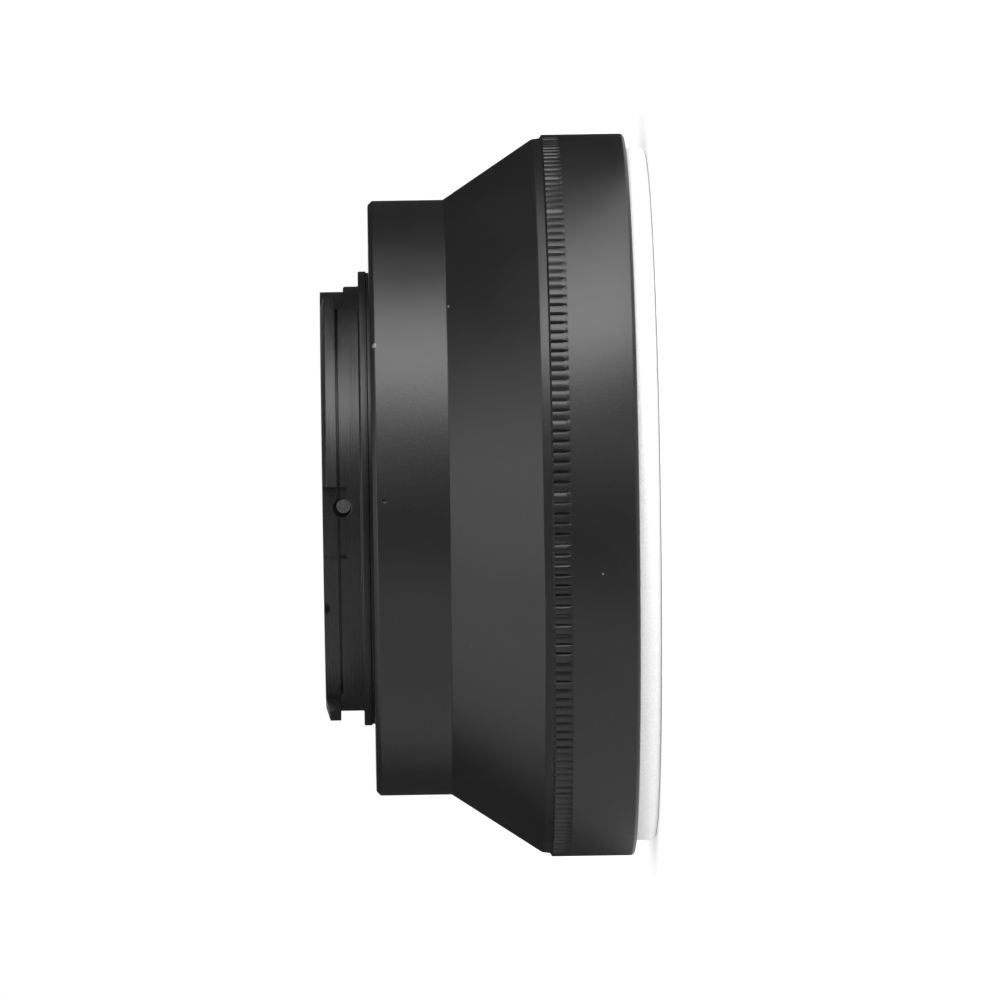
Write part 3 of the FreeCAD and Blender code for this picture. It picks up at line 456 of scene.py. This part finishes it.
# %% Camera bayonet
SPIGOT = 24.85
SPIGOT_RELIEF = SPIGOT - 0.12
COLLAR = 23.25
TAB = 24.3
GAP_FLOOR = 22.75
POCKET_FLOOR = 22.68
POCKET_DEPTH = 0.9
UNDERCUT_FLOOR = 22.35
UNDERCUT_HEIGHT = 0.26
FRONT_CHAMFER = 0.45
THROAT_CHAMFER = 0.4
STEP_RING_END = 31.63
COLLAR_END = 34.17
FIRST_TAB = 273
FIRST_TAB_WIDTH = 62
TABS = [(FIRST_TAB, FIRST_TAB_WIDTH), (42, 50), (154, 44)]
POCKETS = [(FIRST_TAB - 19, 19), (FIRST_TAB + FIRST_TAB_WIDTH, 46)]
UNDERCUT_START = 204
UNDERCUT_WIDTH = 131

bayonet_outline = [
    (THROAT, SPIGOT_FLOOR, 0),
    (SPIGOT, SPIGOT_FLOOR, 0),
    (SPIGOT, SEAT - 0.2, 0.05),
    (SPIGOT_RELIEF, SEAT - 0.2, 0),
    (SPIGOT_RELIEF, SEAT + 0.3, 0),
    (STEP_RING, SEAT + 0.3, 0.1),
    (STEP_RING, STEP_RING_END, 0.16),
    (COLLAR, STEP_RING_END, 0.12),
    (COLLAR, COLLAR_END, 0),
    (TAB, COLLAR_END, 0.06),
    (TAB, FRONT - FRONT_CHAMFER, 0.08),
    (GAP_FLOOR + 0.1, FRONT, 0.06),
    (THROAT + THROAT_CHAMFER, FRONT, 0.05),
    (THROAT, FRONT - THROAT_CHAMFER, 0.05),
]
bayonet = make_object(turned(bayonet_outline, columns=720), "bayonet_body")

bayonet_tools = []
for (start, width), (next_start, _) in zip(TABS, TABS[1:] + TABS[:1]):
    gap_start = start + width
    gap_width = (next_start - gap_start) % 360
    bayonet_tools.append(sector(GAP_FLOOR, TAB + PAST, COLLAR_END, FRONT + PAST, gap_start, gap_width))
undercut = (UNDERCUT_FLOOR, TAB + PAST, COLLAR_END - UNDERCUT_HEIGHT, COLLAR_END + 0.02)
bayonet_tools.append(sector(*undercut, UNDERCUT_START, UNDERCUT_WIDTH))
pocket = (POCKET_FLOOR, TAB + PAST, COLLAR_END - POCKET_DEPTH, FRONT + PAST)
shallow_step = (COLLAR - 0.1, COLLAR + 0.4, COLLAR_END - POCKET_DEPTH - 0.1, COLLAR_END - POCKET_DEPTH + 0.1)
for start, width in POCKETS:
    bayonet_tools.append(sector(*pocket, start, width))
    bayonet_tools.append(sector(*shallow_step, start, width))
print("tabs of", [width for _, width in TABS], "degrees")

# %% [markdown]
# A small round notch in the front and the hole of the stop pin finish the bayonet. The pin is its own
# piece, a node of the frame. It sits in a hole that is a little wider than itself and has a wide chamfer
# round its mouth, so a dark ring shows round it.

# %% Notch and hole of the stop pin
NOTCH = 0.78
NOTCH_ANGLE = 238.8
NOTCH_FLOOR = 21.8
PIN_HOLE = 0.98
PIN_HOLE_DEPTH = 1.5
PIN_HOLE_ANGLE = 267.5
PIN_HOLE_HEIGHT = 33.71
CHAMFER_FLOOR = 0.95
CHAMFER_MOUTH = 1.5

bayonet_tools += [
    side_hole(NOTCH, NOTCH_ANGLE, FRONT + 0.1, NOTCH_FLOOR, TAB + PAST),
    side_hole(PIN_HOLE, PIN_HOLE_ANGLE, PIN_HOLE_HEIGHT, COLLAR - PIN_HOLE_DEPTH, COLLAR),
    side_hole(
        CHAMFER_FLOOR,
        PIN_HOLE_ANGLE,
        PIN_HOLE_HEIGHT,
        COLLAR - 0.15,
        COLLAR + 0.35,
        top_radius=CHAMFER_MOUTH,
    ),
]
cut(bayonet, bayonet_tools)
finish_shape(bayonet)
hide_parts("camera_bayonet")
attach(bayonet, "housing")

# %% [markdown]
# The lens mount plate is the bright ring at the bottom: a female bayonet whose three lugs hold the lens. It
# is turned, parted between the lugs and countersunk for its six screws. Its outer edge is well rounded.

# %% Lens mount plate
PILOT = 31.0
LUG = 28.5
LUG_FLOOR = 1.6
LUG_GAP = 30.2
LUG_START = 98
LUG_WIDTH = 52
LUG_COUNT = 3
LUG_PITCH = 360 // LUG_COUNT
PLATE_SCREW_COUNT = 6
PLATE_SCREW_CIRCLE = 35.8
PLATE_SCREW_HEAD = 1.95
PLATE_SCREW_SHANK = 1.1
SINK_END = 0.75

plate_outline = [
    (PILOT, 0, 0.25),
    (PLATE, 0, 0.7),
    (PLATE, GRIP_START, 0.05),
    (CHAMBER - 0.1, GRIP_START, 0),
    (CHAMBER - 0.1, HUB_END, 0.1),
    (LUG, HUB_END, 0.1),
    (LUG, LUG_FLOOR, 0.1),
    (PILOT, LUG_FLOOR, 0),
]
plate = make_object(turned(plate_outline, columns=360, segments=6), "mount_plate")
plate_tools = []
for number in range(LUG_COUNT):
    start = LUG_START + LUG_WIDTH + number * LUG_PITCH
    plate_tools.append(
        sector(LUG - PAST, LUG_GAP, LUG_FLOOR, HUB_END + PAST, start, LUG_PITCH - LUG_WIDTH)
    )
for number in range(PLATE_SCREW_COUNT):
    place = (PLATE_SCREW_CIRCLE, number * 360 / PLATE_SCREW_COUNT)
    plate_tools.append(
        axial_hole(PLATE_SCREW_HEAD, *place, -0.1, SINK_END, top_radius=PLATE_SCREW_SHANK)
    )
    plate_tools.append(axial_hole(PLATE_SCREW_SHANK, *place, SINK_END - 0.1, GRIP_START + PAST))
cut(plate, plate_tools)
finish_shape(plate)
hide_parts("lens_mount_plate")
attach(plate, "housing")

# %% [markdown]
# The coil spring of the release is wound again in round wire, by spinning a circle that climbs as it turns.
# It presses between the slider and the end of its hole, so it gets shorter as the slider goes up. It is
# wound here at the length that the frame gives it.

# %% Release spring
SPRING_TURNS = 5
SPRING_WIRE = 0.18
STEPS_PER_TURN = 36

spring_low, spring_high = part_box("lock_spring")
spring_length = (spring_high.z - spring_low.z) / MM
coil_centre = (spring_low + spring_high) / 2
wire_start = Vector((spring_high.x - SPRING_WIRE * MM, coil_centre.y, spring_low.z + SPRING_WIRE * MM))
wire_end = Matrix.Translation(wire_start) @ Matrix.Rotation(math.radians(90), 4, "X")
coil = bmesh.new()
bmesh.ops.create_circle(coil, cap_ends=True, segments=12, radius=SPRING_WIRE * MM, matrix=wire_end)
coil_steps = SPRING_TURNS * STEPS_PER_TURN
climb = (spring_length - 2 * SPRING_WIRE) / coil_steps * MM
bmesh.ops.spin(
    coil,
    geom=coil.faces[:],
    cent=coil_centre,
    axis=(0, 0, 1),
    dvec=(0, 0, climb),
    angle=math.tau * SPRING_TURNS,
    steps=coil_steps,
)
bmesh.ops.recalc_face_normals(coil, faces=coil.faces)
spring = make_object(coil, "release_spring")
finish_shape(spring)
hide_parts("lock_spring")
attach(spring, "housing")
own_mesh(spring)
print("spring of", SPRING_TURNS, "turns and", round(spring_length, 2), "mm")

# %% [markdown]
# Effects that several finishes share are node groups. Each one reads Object coordinates, in metres, so that
# a grain has its real size on every piece. Short functions place the nodes, because the same few are needed
# often.

# %% Node helpers
def new_group(name, inputs, outputs):
    """An empty node group with its sockets, and its input and output nodes."""
    group = bpy.data.node_groups.new(name, "ShaderNodeTree")
    for label, kind, default in inputs:
        socket = group.interface.new_socket(label, in_out="INPUT", socket_type=kind)
        socket.default_value = default
    for label, kind in outputs:
        group.interface.new_socket(label, in_out="OUTPUT", socket_type=kind)
    return group, group.nodes.new("NodeGroupInput"), group.nodes.new("NodeGroupOutput")


def math_node(tree, operation, *values):
    """A Math node, whose inputs are numbers or sockets."""
    node = tree.nodes.new("ShaderNodeMath")
    node.operation = operation
    for socket, value in zip(node.inputs, values):
        if isinstance(value, (int, float)):
            socket.default_value = value
        else:
            tree.links.new(value, socket)
    return node.outputs[0]


def map_range(tree, value, low, high, to_low=0.0, to_high=1.0):
    """A clamped, smooth change from one range to another."""
    node = tree.nodes.new("ShaderNodeMapRange")
    node.interpolation_type = "SMOOTHSTEP"
    tree.links.new(value, node.inputs["Value"])
    for label, number in (("From Min", low), ("From Max", high), ("To Min", to_low), ("To Max", to_high)):
        node.inputs[label].default_value = number
    return node.outputs["Result"]


def noise(tree, vector, scale, detail, roughness):
    """A Noise Texture on a vector, as one value."""
    node = tree.nodes.new("ShaderNodeTexNoise")
    node.inputs["Scale"].default_value = scale
    node.inputs["Detail"].default_value = detail
    node.inputs["Roughness"].default_value = roughness
    tree.links.new(vector, node.inputs["Vector"])
    return node.outputs["Fac"]


# %% [markdown]
# "grain" is the fine tooth that blasting leaves under an anodised skin, as a height, and beside it slow
# clouds a centimetre wide, which a finish can use for its roughness. Both are noise, at two very different
# scales.

# %% Grain group
CLOUD_SCALE = 90.0

grain_group, entry, leave = new_group(
    "grain",
    [("Vector", "NodeSocketVector", (0, 0, 0)), ("Size", "NodeSocketFloat", 3000.0)],
    [("Height", "NodeSocketFloat"), ("Cloud", "NodeSocketFloat")],
)
scaled = grain_group.nodes.new("ShaderNodeVectorMath")
scaled.operation = "SCALE"
grain_group.links.new(entry.outputs["Vector"], scaled.inputs[0])
grain_group.links.new(entry.outputs["Size"], scaled.inputs["Scale"])
tooth_noise = noise(grain_group, scaled.outputs[0], 1.0, 3.0, 0.6)
cloud_noise = noise(grain_group, entry.outputs["Vector"], CLOUD_SCALE, 3.0, 0.55)
grain_group.links.new(tooth_noise, leave.inputs["Height"])
grain_group.links.new(cloud_noise, leave.inputs["Cloud"])

# %% [markdown]
# "lathe lines" are the fine rings that a turning tool leaves. They follow the outline, so the pattern reads
# only the radius and the height of a point, and not its angle.

# %% Lathe line group
lathe_group, entry, leave = new_group(
    "lathe_lines",
    [("Vector", "NodeSocketVector", (0, 0, 0)), ("Pitch", "NodeSocketFloat", 9000.0)],
    [("Height", "NodeSocketFloat")],
)
split = lathe_group.nodes.new("ShaderNodeSeparateXYZ")
lathe_group.links.new(entry.outputs["Vector"], split.inputs[0])
x_square = math_node(lathe_group, "MULTIPLY", split.outputs["X"], split.outputs["X"])
y_square = math_node(lathe_group, "MULTIPLY", split.outputs["Y"], split.outputs["Y"])
reach = math_node(lathe_group, "SQRT", math_node(lathe_group, "ADD", x_square, y_square))
across = math_node(lathe_group, "MULTIPLY", reach, entry.outputs["Pitch"])
along = math_node(lathe_group, "MULTIPLY", split.outputs["Z"], entry.outputs["Pitch"])
joined = lathe_group.nodes.new("ShaderNodeCombineXYZ")
lathe_group.links.new(across, joined.inputs["X"])
lathe_group.links.new(along, joined.inputs["Z"])
lathe_group.links.new(noise(lathe_group, joined.outputs[0], 1.0, 2.0, 0.5), leave.inputs["Height"])

# %% [markdown]
# "dust" is the few pale specks that settle on any black part between wiping and shooting. A Voronoi pattern
# gives one round speck to a cell, and a second threshold keeps only some of them.

# %% Dust group
LARGEST_SPECK = 0.045
EMPTY_CELLS = 0.8

dust_group, entry, leave = new_group(
    "dust",
    [("Vector", "NodeSocketVector", (0, 0, 0)), ("Spread", "NodeSocketFloat", 260.0)],
    [("Mask", "NodeSocketFloat")],
)
cells = dust_group.nodes.new("ShaderNodeTexVoronoi")
dust_group.links.new(entry.outputs["Vector"], cells.inputs["Vector"])
dust_group.links.new(entry.outputs["Spread"], cells.inputs["Scale"])
tint = dust_group.nodes.new("ShaderNodeSeparateColor")
dust_group.links.new(cells.outputs["Color"], tint.inputs[0])
speck_size = math_node(dust_group, "MULTIPLY", tint.outputs["Green"], LARGEST_SPECK)
inside = math_node(dust_group, "LESS_THAN", cells.outputs["Distance"], speck_size)
kept = math_node(dust_group, "GREATER_THAN", tint.outputs["Red"], EMPTY_CELLS)
dust_group.links.new(math_node(dust_group, "MULTIPLY", inside, kept), leave.inputs["Mask"])
print("node groups:", [group.name for group in (grain_group, lathe_group, dust_group)])

# %% [markdown]
# All finishes are built alike: a base colour, a roughness that changes in slow clouds, and a bump of grain,
# with lathe lines over it where the piece was turned. These functions hold what they share.

# %% Material helpers
CLOUD_LOW, CLOUD_HIGH = 0.3, 0.7
BUMP_HEIGHT = 0.1 * MM


def add_group(tree, group, vector, **values):
    """Places a node group in a material, with its own values."""
    node = tree.nodes.new("ShaderNodeGroup")
    node.node_tree = group
    tree.links.new(vector, node.inputs["Vector"])
    for label, value in values.items():
        node.inputs[label].default_value = value
    return node


def mix_colors(tree, factor, dark, light):
    """A colour between two, by a factor. Each is a colour or a socket."""
    node = tree.nodes.new("ShaderNodeMix")
    node.data_type = "RGBA"
    tree.links.new(factor, node.inputs["Factor"])
    for socket, value in ((node.inputs["A"], dark), (node.inputs["B"], light)):
        if isinstance(value, tuple):
            socket.default_value = value
        else:
            tree.links.new(value, socket)
    return node.outputs["Result"]


def bump(tree, height, strength, normal=None):
    """A Bump node, which may build on another."""
    node = tree.nodes.new("ShaderNodeBump")
    node.inputs["Strength"].default_value = strength
    node.inputs["Distance"].default_value = BUMP_HEIGHT
    tree.links.new(height, node.inputs["Height"])
    if normal:
        tree.links.new(normal, node.inputs["Normal"])
    return node.outputs["Normal"]


def new_material(name, metallic=0.0, ior=1.5):
    """A material with its Principled shader and Object coordinates."""
    material = bpy.data.materials.new(name)
    material.use_nodes = True
    tree = material.node_tree
    shader = tree.nodes["Principled BSDF"]
    shader.inputs["Metallic"].default_value = metallic
    shader.inputs["IOR"].default_value = ior
    where = tree.nodes.new("ShaderNodeTexCoord").outputs["Object"]
    return material, tree, shader, where


def roughen(tree, shader, where, grained, rough, grain, lathe):
    """Gives a finish its cloudy roughness, its grain and, where it was turned, its lathe lines."""
    cloudy = map_range(tree, grained.outputs["Cloud"], CLOUD_LOW, CLOUD_HIGH, *rough)
    tree.links.new(cloudy, shader.inputs["Roughness"])
    normal = bump(tree, grained.outputs["Height"], grain)
    if lathe:
        lines = add_group(tree, lathe_group, where)
        normal = bump(tree, lines.outputs["Height"], lathe, normal)
    tree.links.new(normal, shader.inputs["Normal"])


# %% [markdown]
# Black anodised aluminium is a thin dyed glassy skin over metal. It is not a mirror, but it has a broad
# sheen, so it is a dark plain surface with middling roughness. Its grain breaks the sheen up, and slow
# clouds of roughness keep a large face from looking like paint. One function builds all the black finishes.
# The barrel has two small chips at its edges, where the grey metal shows. Each is a mask from the distance
# to its place, and the grain makes its rim ragged.

# %% Black finishes
BARE_METAL = (0.35, 0.35, 0.34, 1)
BLACK_GRAIN = 5200.0


def black_finish(name, dark, light, rough, grain=0.25, lathe=0.0, dust=0.35, chips=()):
    """A black anodised or oxidised finish, with a few chips at given places and of given sizes."""
    material, tree, shader, where = new_material(name, ior=1.46)
    grained = add_group(tree, grain_group, where, Size=BLACK_GRAIN)
    specks = add_group(tree, dust_group, where)
    cloudy = map_range(tree, grained.outputs["Cloud"], CLOUD_LOW, CLOUD_HIGH)
    marks = math_node(tree, "MULTIPLY", specks.outputs["Mask"], dust)
    for place, size in chips:
        away = tree.nodes.new("ShaderNodeVectorMath")
        away.operation = "DISTANCE"
        away.inputs[1].default_value = place * MM
        tree.links.new(where, away.inputs[0])
        ragged = math_node(tree, "MULTIPLY", grained.outputs["Height"], 2 * size * MM)
        bare = math_node(tree, "LESS_THAN", away.outputs["Value"], ragged)
        marks = math_node(tree, "MAXIMUM", marks, math_node(tree, "MULTIPLY", bare, dust))
    base = mix_colors(tree, marks, mix_colors(tree, cloudy, dark, light), BARE_METAL)
    tree.links.new(base, shader.inputs["Base Color"])
    roughen(tree, shader, where, grained, rough, grain, lathe)
    return material


seat_chip = (polar(SMALL - 0.05, 300, SEAT - 0.43), 0.26)
cone_chip = (polar(SMALL + 0.15, 308.5, CONE_END - 0.2), 0.13)
barrel_black = black_finish(
    "barrel_anodised",
    (0.0065, 0.0063, 0.0068, 1),
    (0.0085, 0.0084, 0.0092, 1),
    (0.37, 0.4),
    grain=0.15,
    chips=(seat_chip, cone_chip),
)
bayonet_black = black_finish(
    "bayonet_oxidised",
    (0.006, 0.006, 0.006, 1),
    (0.009, 0.009, 0.009, 1),
    (0.37, 0.4),
    grain=0.1,
    lathe=0.35,
)
slider_black = black_finish(
    "slider_anodised", (0.006, 0.006, 0.0065, 1), (0.009, 0.009, 0.0095, 1), (0.36, 0.4)
)
screw_dark = black_finish(
    "screw_blackened", (0.012, 0.012, 0.013, 1), (0.02, 0.02, 0.021, 1), (0.3, 0.38), lathe=0.3
)
print("black finishes:", [finish.name for finish in (barrel_black, bayonet_black, slider_black, screw_dark)])

# %% [markdown]
# The bright ring is aluminium that was blasted to a fine, even white. The metal scatters light so widely
# that it looks almost like paper, with a faint sparkle of grain. The steels are turned or drawn, and stay
# shinier.

# %% Metal finishes
METAL_GRAIN = 3600.0
SPECKLE_LOW, SPECKLE_HIGH = 0.35, 0.65


def metal_finish(name, dark, light, rough, metallic, grain=0.3, lathe=0.0):
    """A bare metal finish with grain, and lathe lines where it was turned."""
    material, tree, shader, where = new_material(name, metallic=metallic)
    grained = add_group(tree, grain_group, where, Size=METAL_GRAIN)
    speckled = map_range(tree, grained.outputs["Height"], SPECKLE_LOW, SPECKLE_HIGH)
    tree.links.new(mix_colors(tree, speckled, dark, light), shader.inputs["Base Color"])
    roughen(tree, shader, where, grained, rough, grain, lathe)
    return material


plate_silver = metal_finish(
    "plate_blasted", (0.9, 0.9, 0.9, 1), (0.97, 0.97, 0.965, 1), (0.5, 0.58), 0.02, grain=0.12
)
pin_dark = metal_finish(
    "pin_blackened", (0.045, 0.045, 0.046, 1), (0.065, 0.065, 0.065, 1), (0.34, 0.42), 0.2, grain=0.08
)
steel_bright = metal_finish(
    "steel_bright", (0.55, 0.55, 0.54, 1), (0.66, 0.65, 0.64, 1), (0.2, 0.28), 1.0, grain=0.05, lathe=0.2
)
spring_steel = metal_finish(
    "spring_steel", (0.42, 0.41, 0.39, 1), (0.55, 0.53, 0.5, 1), (0.26, 0.36), 1.0, grain=0.1
)
screw_steel = metal_finish(
    "screw_steel", (0.5, 0.49, 0.48, 1), (0.62, 0.61, 0.6, 1), (0.26, 0.34), 1.0, grain=0.1, lathe=0.3
)
metals = (plate_silver, pin_dark, steel_bright, spring_steel, screw_steel)
print("metal finishes:", [finish.name for finish in metals])

# %% [markdown]
# The plate's lowest edge, where the adapter is set down, has a painted shade: its colour is darkened to grey
# there, as a contact shadow painted into the finish. The height of a point is enough to find it, and the
# finish is mixed with that grey just before it reaches the shader.

# %% Painted shade on the plate's lowest edge
# The grey of the painted shade, the height up to which it is full, and the height where it has faded out.
PAINTED_SHADE_GREY = (0.5, 0.5, 0.5, 1)
PAINTED_SHADE_TOP = 0.05 * MM
PAINTED_SHADE_END = 0.12 * MM

tree = plate_silver.node_tree
plate_color = tree.nodes["Principled BSDF"].inputs["Base Color"]
blasted = plate_color.links[0].from_socket
split = tree.nodes.new("ShaderNodeSeparateXYZ")
tree.links.new(tree.nodes.new("ShaderNodeTexCoord").outputs["Object"], split.inputs[0])
# Painted shade: the plate's colour goes to grey near its lowest edge.
outside_painted_shade = map_range(tree, split.outputs["Z"], PAINTED_SHADE_TOP, PAINTED_SHADE_END)
tree.links.new(mix_colors(tree, outside_painted_shade, PAINTED_SHADE_GREY, blasted), plate_color)
print("plate rubbed up to", round(PAINTED_SHADE_END / MM, 2), "mm")

# %% [markdown]
# The index beads are drops of red enamel, which is glossy and a little uneven. A thin coat gives the gloss.

# %% Bead enamel
ENAMEL_GRAIN = 1500.0

bead_red, tree, shader, where = new_material("bead_enamel")
grained = add_group(tree, grain_group, where, Size=ENAMEL_GRAIN)
enamel = mix_colors(tree, grained.outputs["Height"], (0.42, 0.012, 0.01, 1), (0.52, 0.02, 0.015, 1))
tree.links.new(enamel, shader.inputs["Base Color"])
shader.inputs["Roughness"].default_value = 0.28
shader.inputs["Coat Weight"].default_value = 0.4

# %% [markdown]
# Each new piece and each solid that stays from the frame now gets its finish. The solids that stay are
# small exact pieces, such as screws, leaves and the slider, and only their material changes.

# %% Assign the finishes
FINISHES = {
    "barrel_black": barrel_black,
    "bayonet_black": bayonet_black,
    "slider_black": slider_black,
    "plate_silver": plate_silver,
    "pin_steel_dark": pin_dark,
    "steel_bright": steel_bright,
    "spring_steel": spring_steel,
    "screw_steel": screw_steel,
    "screw_dark": screw_dark,
    "bead_red": bead_red,
}
new_pieces = [
    (barrel, barrel_black),
    (bayonet, bayonet_black),
    (plate, plate_silver),
    (spring, spring_steel),
]
for piece, finish in new_pieces:
    piece.data.materials.clear()
    piece.data.materials.append(finish)
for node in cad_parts.values():
    for slot in node.material_slots:
        slot.material = FINISHES[slot.name.split(".")[0]]
print(len(new_pieces), "new pieces and", len(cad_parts), "nodes share", len(FINISHES), "finishes")

# %% [markdown]
# The floor is plain and pale. What the camera, and a shiny surface, see of it is lifted to white with Light
# Path, while the light that it throws on the adapter stays that of a pale floor. The lift is small near the
# adapter, so its shadow stays, and grows with distance, where no shadow falls.

# %% Floor
FLOOR_RADIUS = 20
SHADOW_REACH = 0.05
LIFT_REACH = 0.6
LIFTS = (0.15, 0.4)
WHITE = (1, 1, 1, 1)


def watched(tree):
    """A mask of what the camera sees, straight, in a reflection or through glass."""
    path = tree.nodes.new("ShaderNodeLightPath")
    straight = math_node(tree, "MAXIMUM", path.outputs["Is Camera Ray"], path.outputs["Is Glossy Ray"])
    return math_node(tree, "MAXIMUM", straight, path.outputs["Is Transmission Ray"])


disc = bmesh.new()
bmesh.ops.create_circle(disc, cap_ends=True, segments=128, radius=FLOOR_RADIUS)
floor = make_object(disc, "floor")
floor_material, tree, shader, where = new_material("floor_white")
shader.inputs["Roughness"].default_value = 0.9
shader.inputs["Base Color"].default_value = (0.82, 0.82, 0.82, 1)
distance = tree.nodes.new("ShaderNodeVectorMath")
distance.operation = "LENGTH"
tree.links.new(where, distance.inputs[0])
lift = map_range(tree, distance.outputs["Value"], SHADOW_REACH, LIFT_REACH, *LIFTS)
shader.inputs["Emission Color"].default_value = WHITE
tree.links.new(math_node(tree, "MULTIPLY", watched(tree), lift), shader.inputs["Emission Strength"])
floor.data.materials.append(floor_material)
print("floor", 2 * FLOOR_RADIUS, "m wide")

# %% [markdown]
# The room behind everything is white as well. Seen by the camera or in a reflection it has its full
# brightness, and its light on the adapter is a little weaker, so that the soft boxes keep the upper hand.

# %% World
ROOM_LIGHT = 0.85

world = bpy.data.worlds.new("studio")
bpy.context.scene.world = world
world.use_nodes = True
tree = world.node_tree
background = tree.nodes["Background"]
background.inputs["Color"].default_value = WHITE
extra = math_node(tree, "MULTIPLY", watched(tree), 1 - ROOM_LIGHT)
tree.links.new(math_node(tree, "ADD", extra, ROOM_LIGHT), background.inputs["Strength"])

# %% [markdown]
# A glossy black part shows little but its surroundings, so the light is laid out as in a studio for such
# parts. Everything round it is a black tent, and soft boxes stand inside: a row of low ones on the
# picture's upper side draws the highlight along the tube, weak wide ones fill the lower side, and higher
# ones light the cone. Each lamp is given by its direction, by how wide and high it looks from the adapter,
# and by its brightness.

# %% Soft boxes
CENTRE = Vector((0, 0, 0.015))
LAMP_DISTANCE = 1.5


def direction(azimuth, elevation):
    """A unit vector from an azimuth and an elevation in degrees."""
    around, upward = math.radians(azimuth), math.radians(elevation)
    level = math.cos(upward)
    return Vector((level * math.cos(around), level * math.sin(around), math.sin(upward)))


def span(degrees):
    """The length that looks this many degrees wide at the lamps' distance."""
    return 2 * LAMP_DISTANCE * math.tan(math.radians(degrees / 2))


def soft_box(name, azimuth, elevation, wide, high, radiance):
    """An area lamp that faces the adapter, of one brightness whatever its size."""
    data = bpy.data.lights.new(name, "AREA")
    data.shape = "RECTANGLE"
    data.size = span(wide)
    data.size_y = span(high)
    data.energy = radiance * math.pi * data.size * data.size_y
    lamp = bpy.data.objects.new(name, data)
    bpy.context.collection.objects.link(lamp)
    towards = direction(azimuth, elevation)
    turn = (-towards).to_track_quat("-Z", "Y").to_matrix().to_4x4()
    lamp.matrix_world = Matrix.Translation(CENTRE + towards * LAMP_DISTANCE) @ turn
    lamp.visible_camera = False


SOFT_BOXES = [
    ("key_right", -41, 5, 22, 10, 6.8),
    ("key_left", -19, 5, 22, 10, 5.4),
    ("key_tail", -68, 5, 22, 10, 0.8),
    ("key_end", 4, 13, 22, 14, 2.5),
    ("fill", 210, 5, 90, 10, 0.88),
    ("fill_middle", 210, 5, 30, 10, 0.85),
    ("key_upper", -37, 18, 22, 16, 8.4),
    ("key_crown", -90, 88, 24, 20, 0.9),
    ("over_camera", -90, 57, 40, 20, 2.8),
    ("over_key", -50, 57, 40, 20, 1.5),
    ("fill_upper", 225, 43, 36, 26, 2.1),
    ("fill_far", 180, 43, 36, 26, 1.1),
    ("top", 180, 72, 40, 30, 0.45),
]
for row in SOFT_BOXES:
    soft_box(*row)
print(len(SOFT_BOXES), "soft boxes")

# %% [markdown]
# The tent is a dome round the lamps, with a low door at its back, and a black card covers the floor round
# the adapter. Only reflections see them: the camera, the shadows and the soft light pass by. The dome is a
# quarter of a circle, as a rib, spun all the way round.

# %% Tent and floor card
TENT_RADIUS = 2.2
RIB_STEP = 6
RIB_COUNT = 60
DOOR_HALF = 0.3
DOOR_HEIGHT = 0.8
CARD_START = 0.046
CARD_END = 1.9
CARD_HEIGHT = 0.0004
CARD_STEPS = 64
BLACK = (0.004, 0.004, 0.004, 1)


def only_reflected(bm, name, glow=0.0):
    """A black card, which may glow, that the camera and the diffuse light pass by."""
    card = make_object(bm, name)
    material, tree, shader, where = new_material(name)
    shader.inputs["Base Color"].default_value = BLACK
    shader.inputs["Emission Color"].default_value = WHITE
    shader.inputs["Emission Strength"].default_value = glow
    card.data.materials.append(material)
    card.visible_camera = False
    card.visible_diffuse = False
    card.visible_shadow = False
    card.visible_transmission = False


def flat_ring(end, height, start, width, steps):
    """A flat ring, or a part of one, from the edge of the adapter outwards."""
    turn = Matrix.Rotation(math.radians(start), 3, "Z")
    bm = bmesh.new()
    near = bm.verts.new(turn @ Vector((CARD_START, 0, height)))
    far = bm.verts.new(turn @ Vector((end, 0, height)))
    rim = bm.edges.new((near, far))
    angle, whole = math.radians(width), width == 360
    bmesh.ops.spin(bm, geom=[near, far, rim], angle=angle, steps=steps, use_merge=whole, **ROUND_THE_AXIS)
    return bm


def in_doorway(face):
    """Tells whether a face of the tent is in its doorway."""
    middle = face.calc_center_median()
    return abs(middle.x) < DOOR_HALF and middle.y > 0 and middle.z < DOOR_HEIGHT


tent = bmesh.new()
rib = [tent.verts.new(direction(90, elevation) * TENT_RADIUS) for elevation in range(0, 91, RIB_STEP)]
for here, there in zip(rib, rib[1:]):
    tent.edges.new((here, there))
wire = tent.verts[:] + tent.edges[:]
bmesh.ops.spin(tent, geom=wire, angle=math.tau, steps=RIB_COUNT, use_merge=True, **ROUND_THE_AXIS)
bmesh.ops.remove_doubles(tent, verts=tent.verts, dist=0.001)
door = [face for face in tent.faces if in_doorway(face)]
bmesh.ops.delete(tent, geom=door, context="FACES")
only_reflected(tent, "tent")
only_reflected(flat_ring(CARD_END, CARD_HEIGHT, 0, 360, CARD_STEPS), "floor_card")
print("tent with a door of", len(door), "faces")

# %% [markdown]
# In front of the low soft boxes lie cards as bright as they are, like a table that shines back at the
# adapter, so that the rounded lower edges catch the light too. They lie a hair above each other, where they
# overlap.

# %% Shining cards
LOW = 10
SHINE_END = 1.2
SHINE_HEIGHT = 0.0006
SHINE_STEP = 0.0001
SHINE_TURN = 9

low_boxes = [box for box in SOFT_BOXES if box[2] <= LOW]
for number, (name, azimuth, _, wide, _, radiance) in enumerate(low_boxes):
    height = SHINE_HEIGHT + number * SHINE_STEP
    shine = flat_ring(SHINE_END, height, azimuth - wide / 2 - SHINE_TURN, wide, wide // 2)
    only_reflected(shine, "shine_" + name, glow=radiance)
print(len(low_boxes), "shining cards")
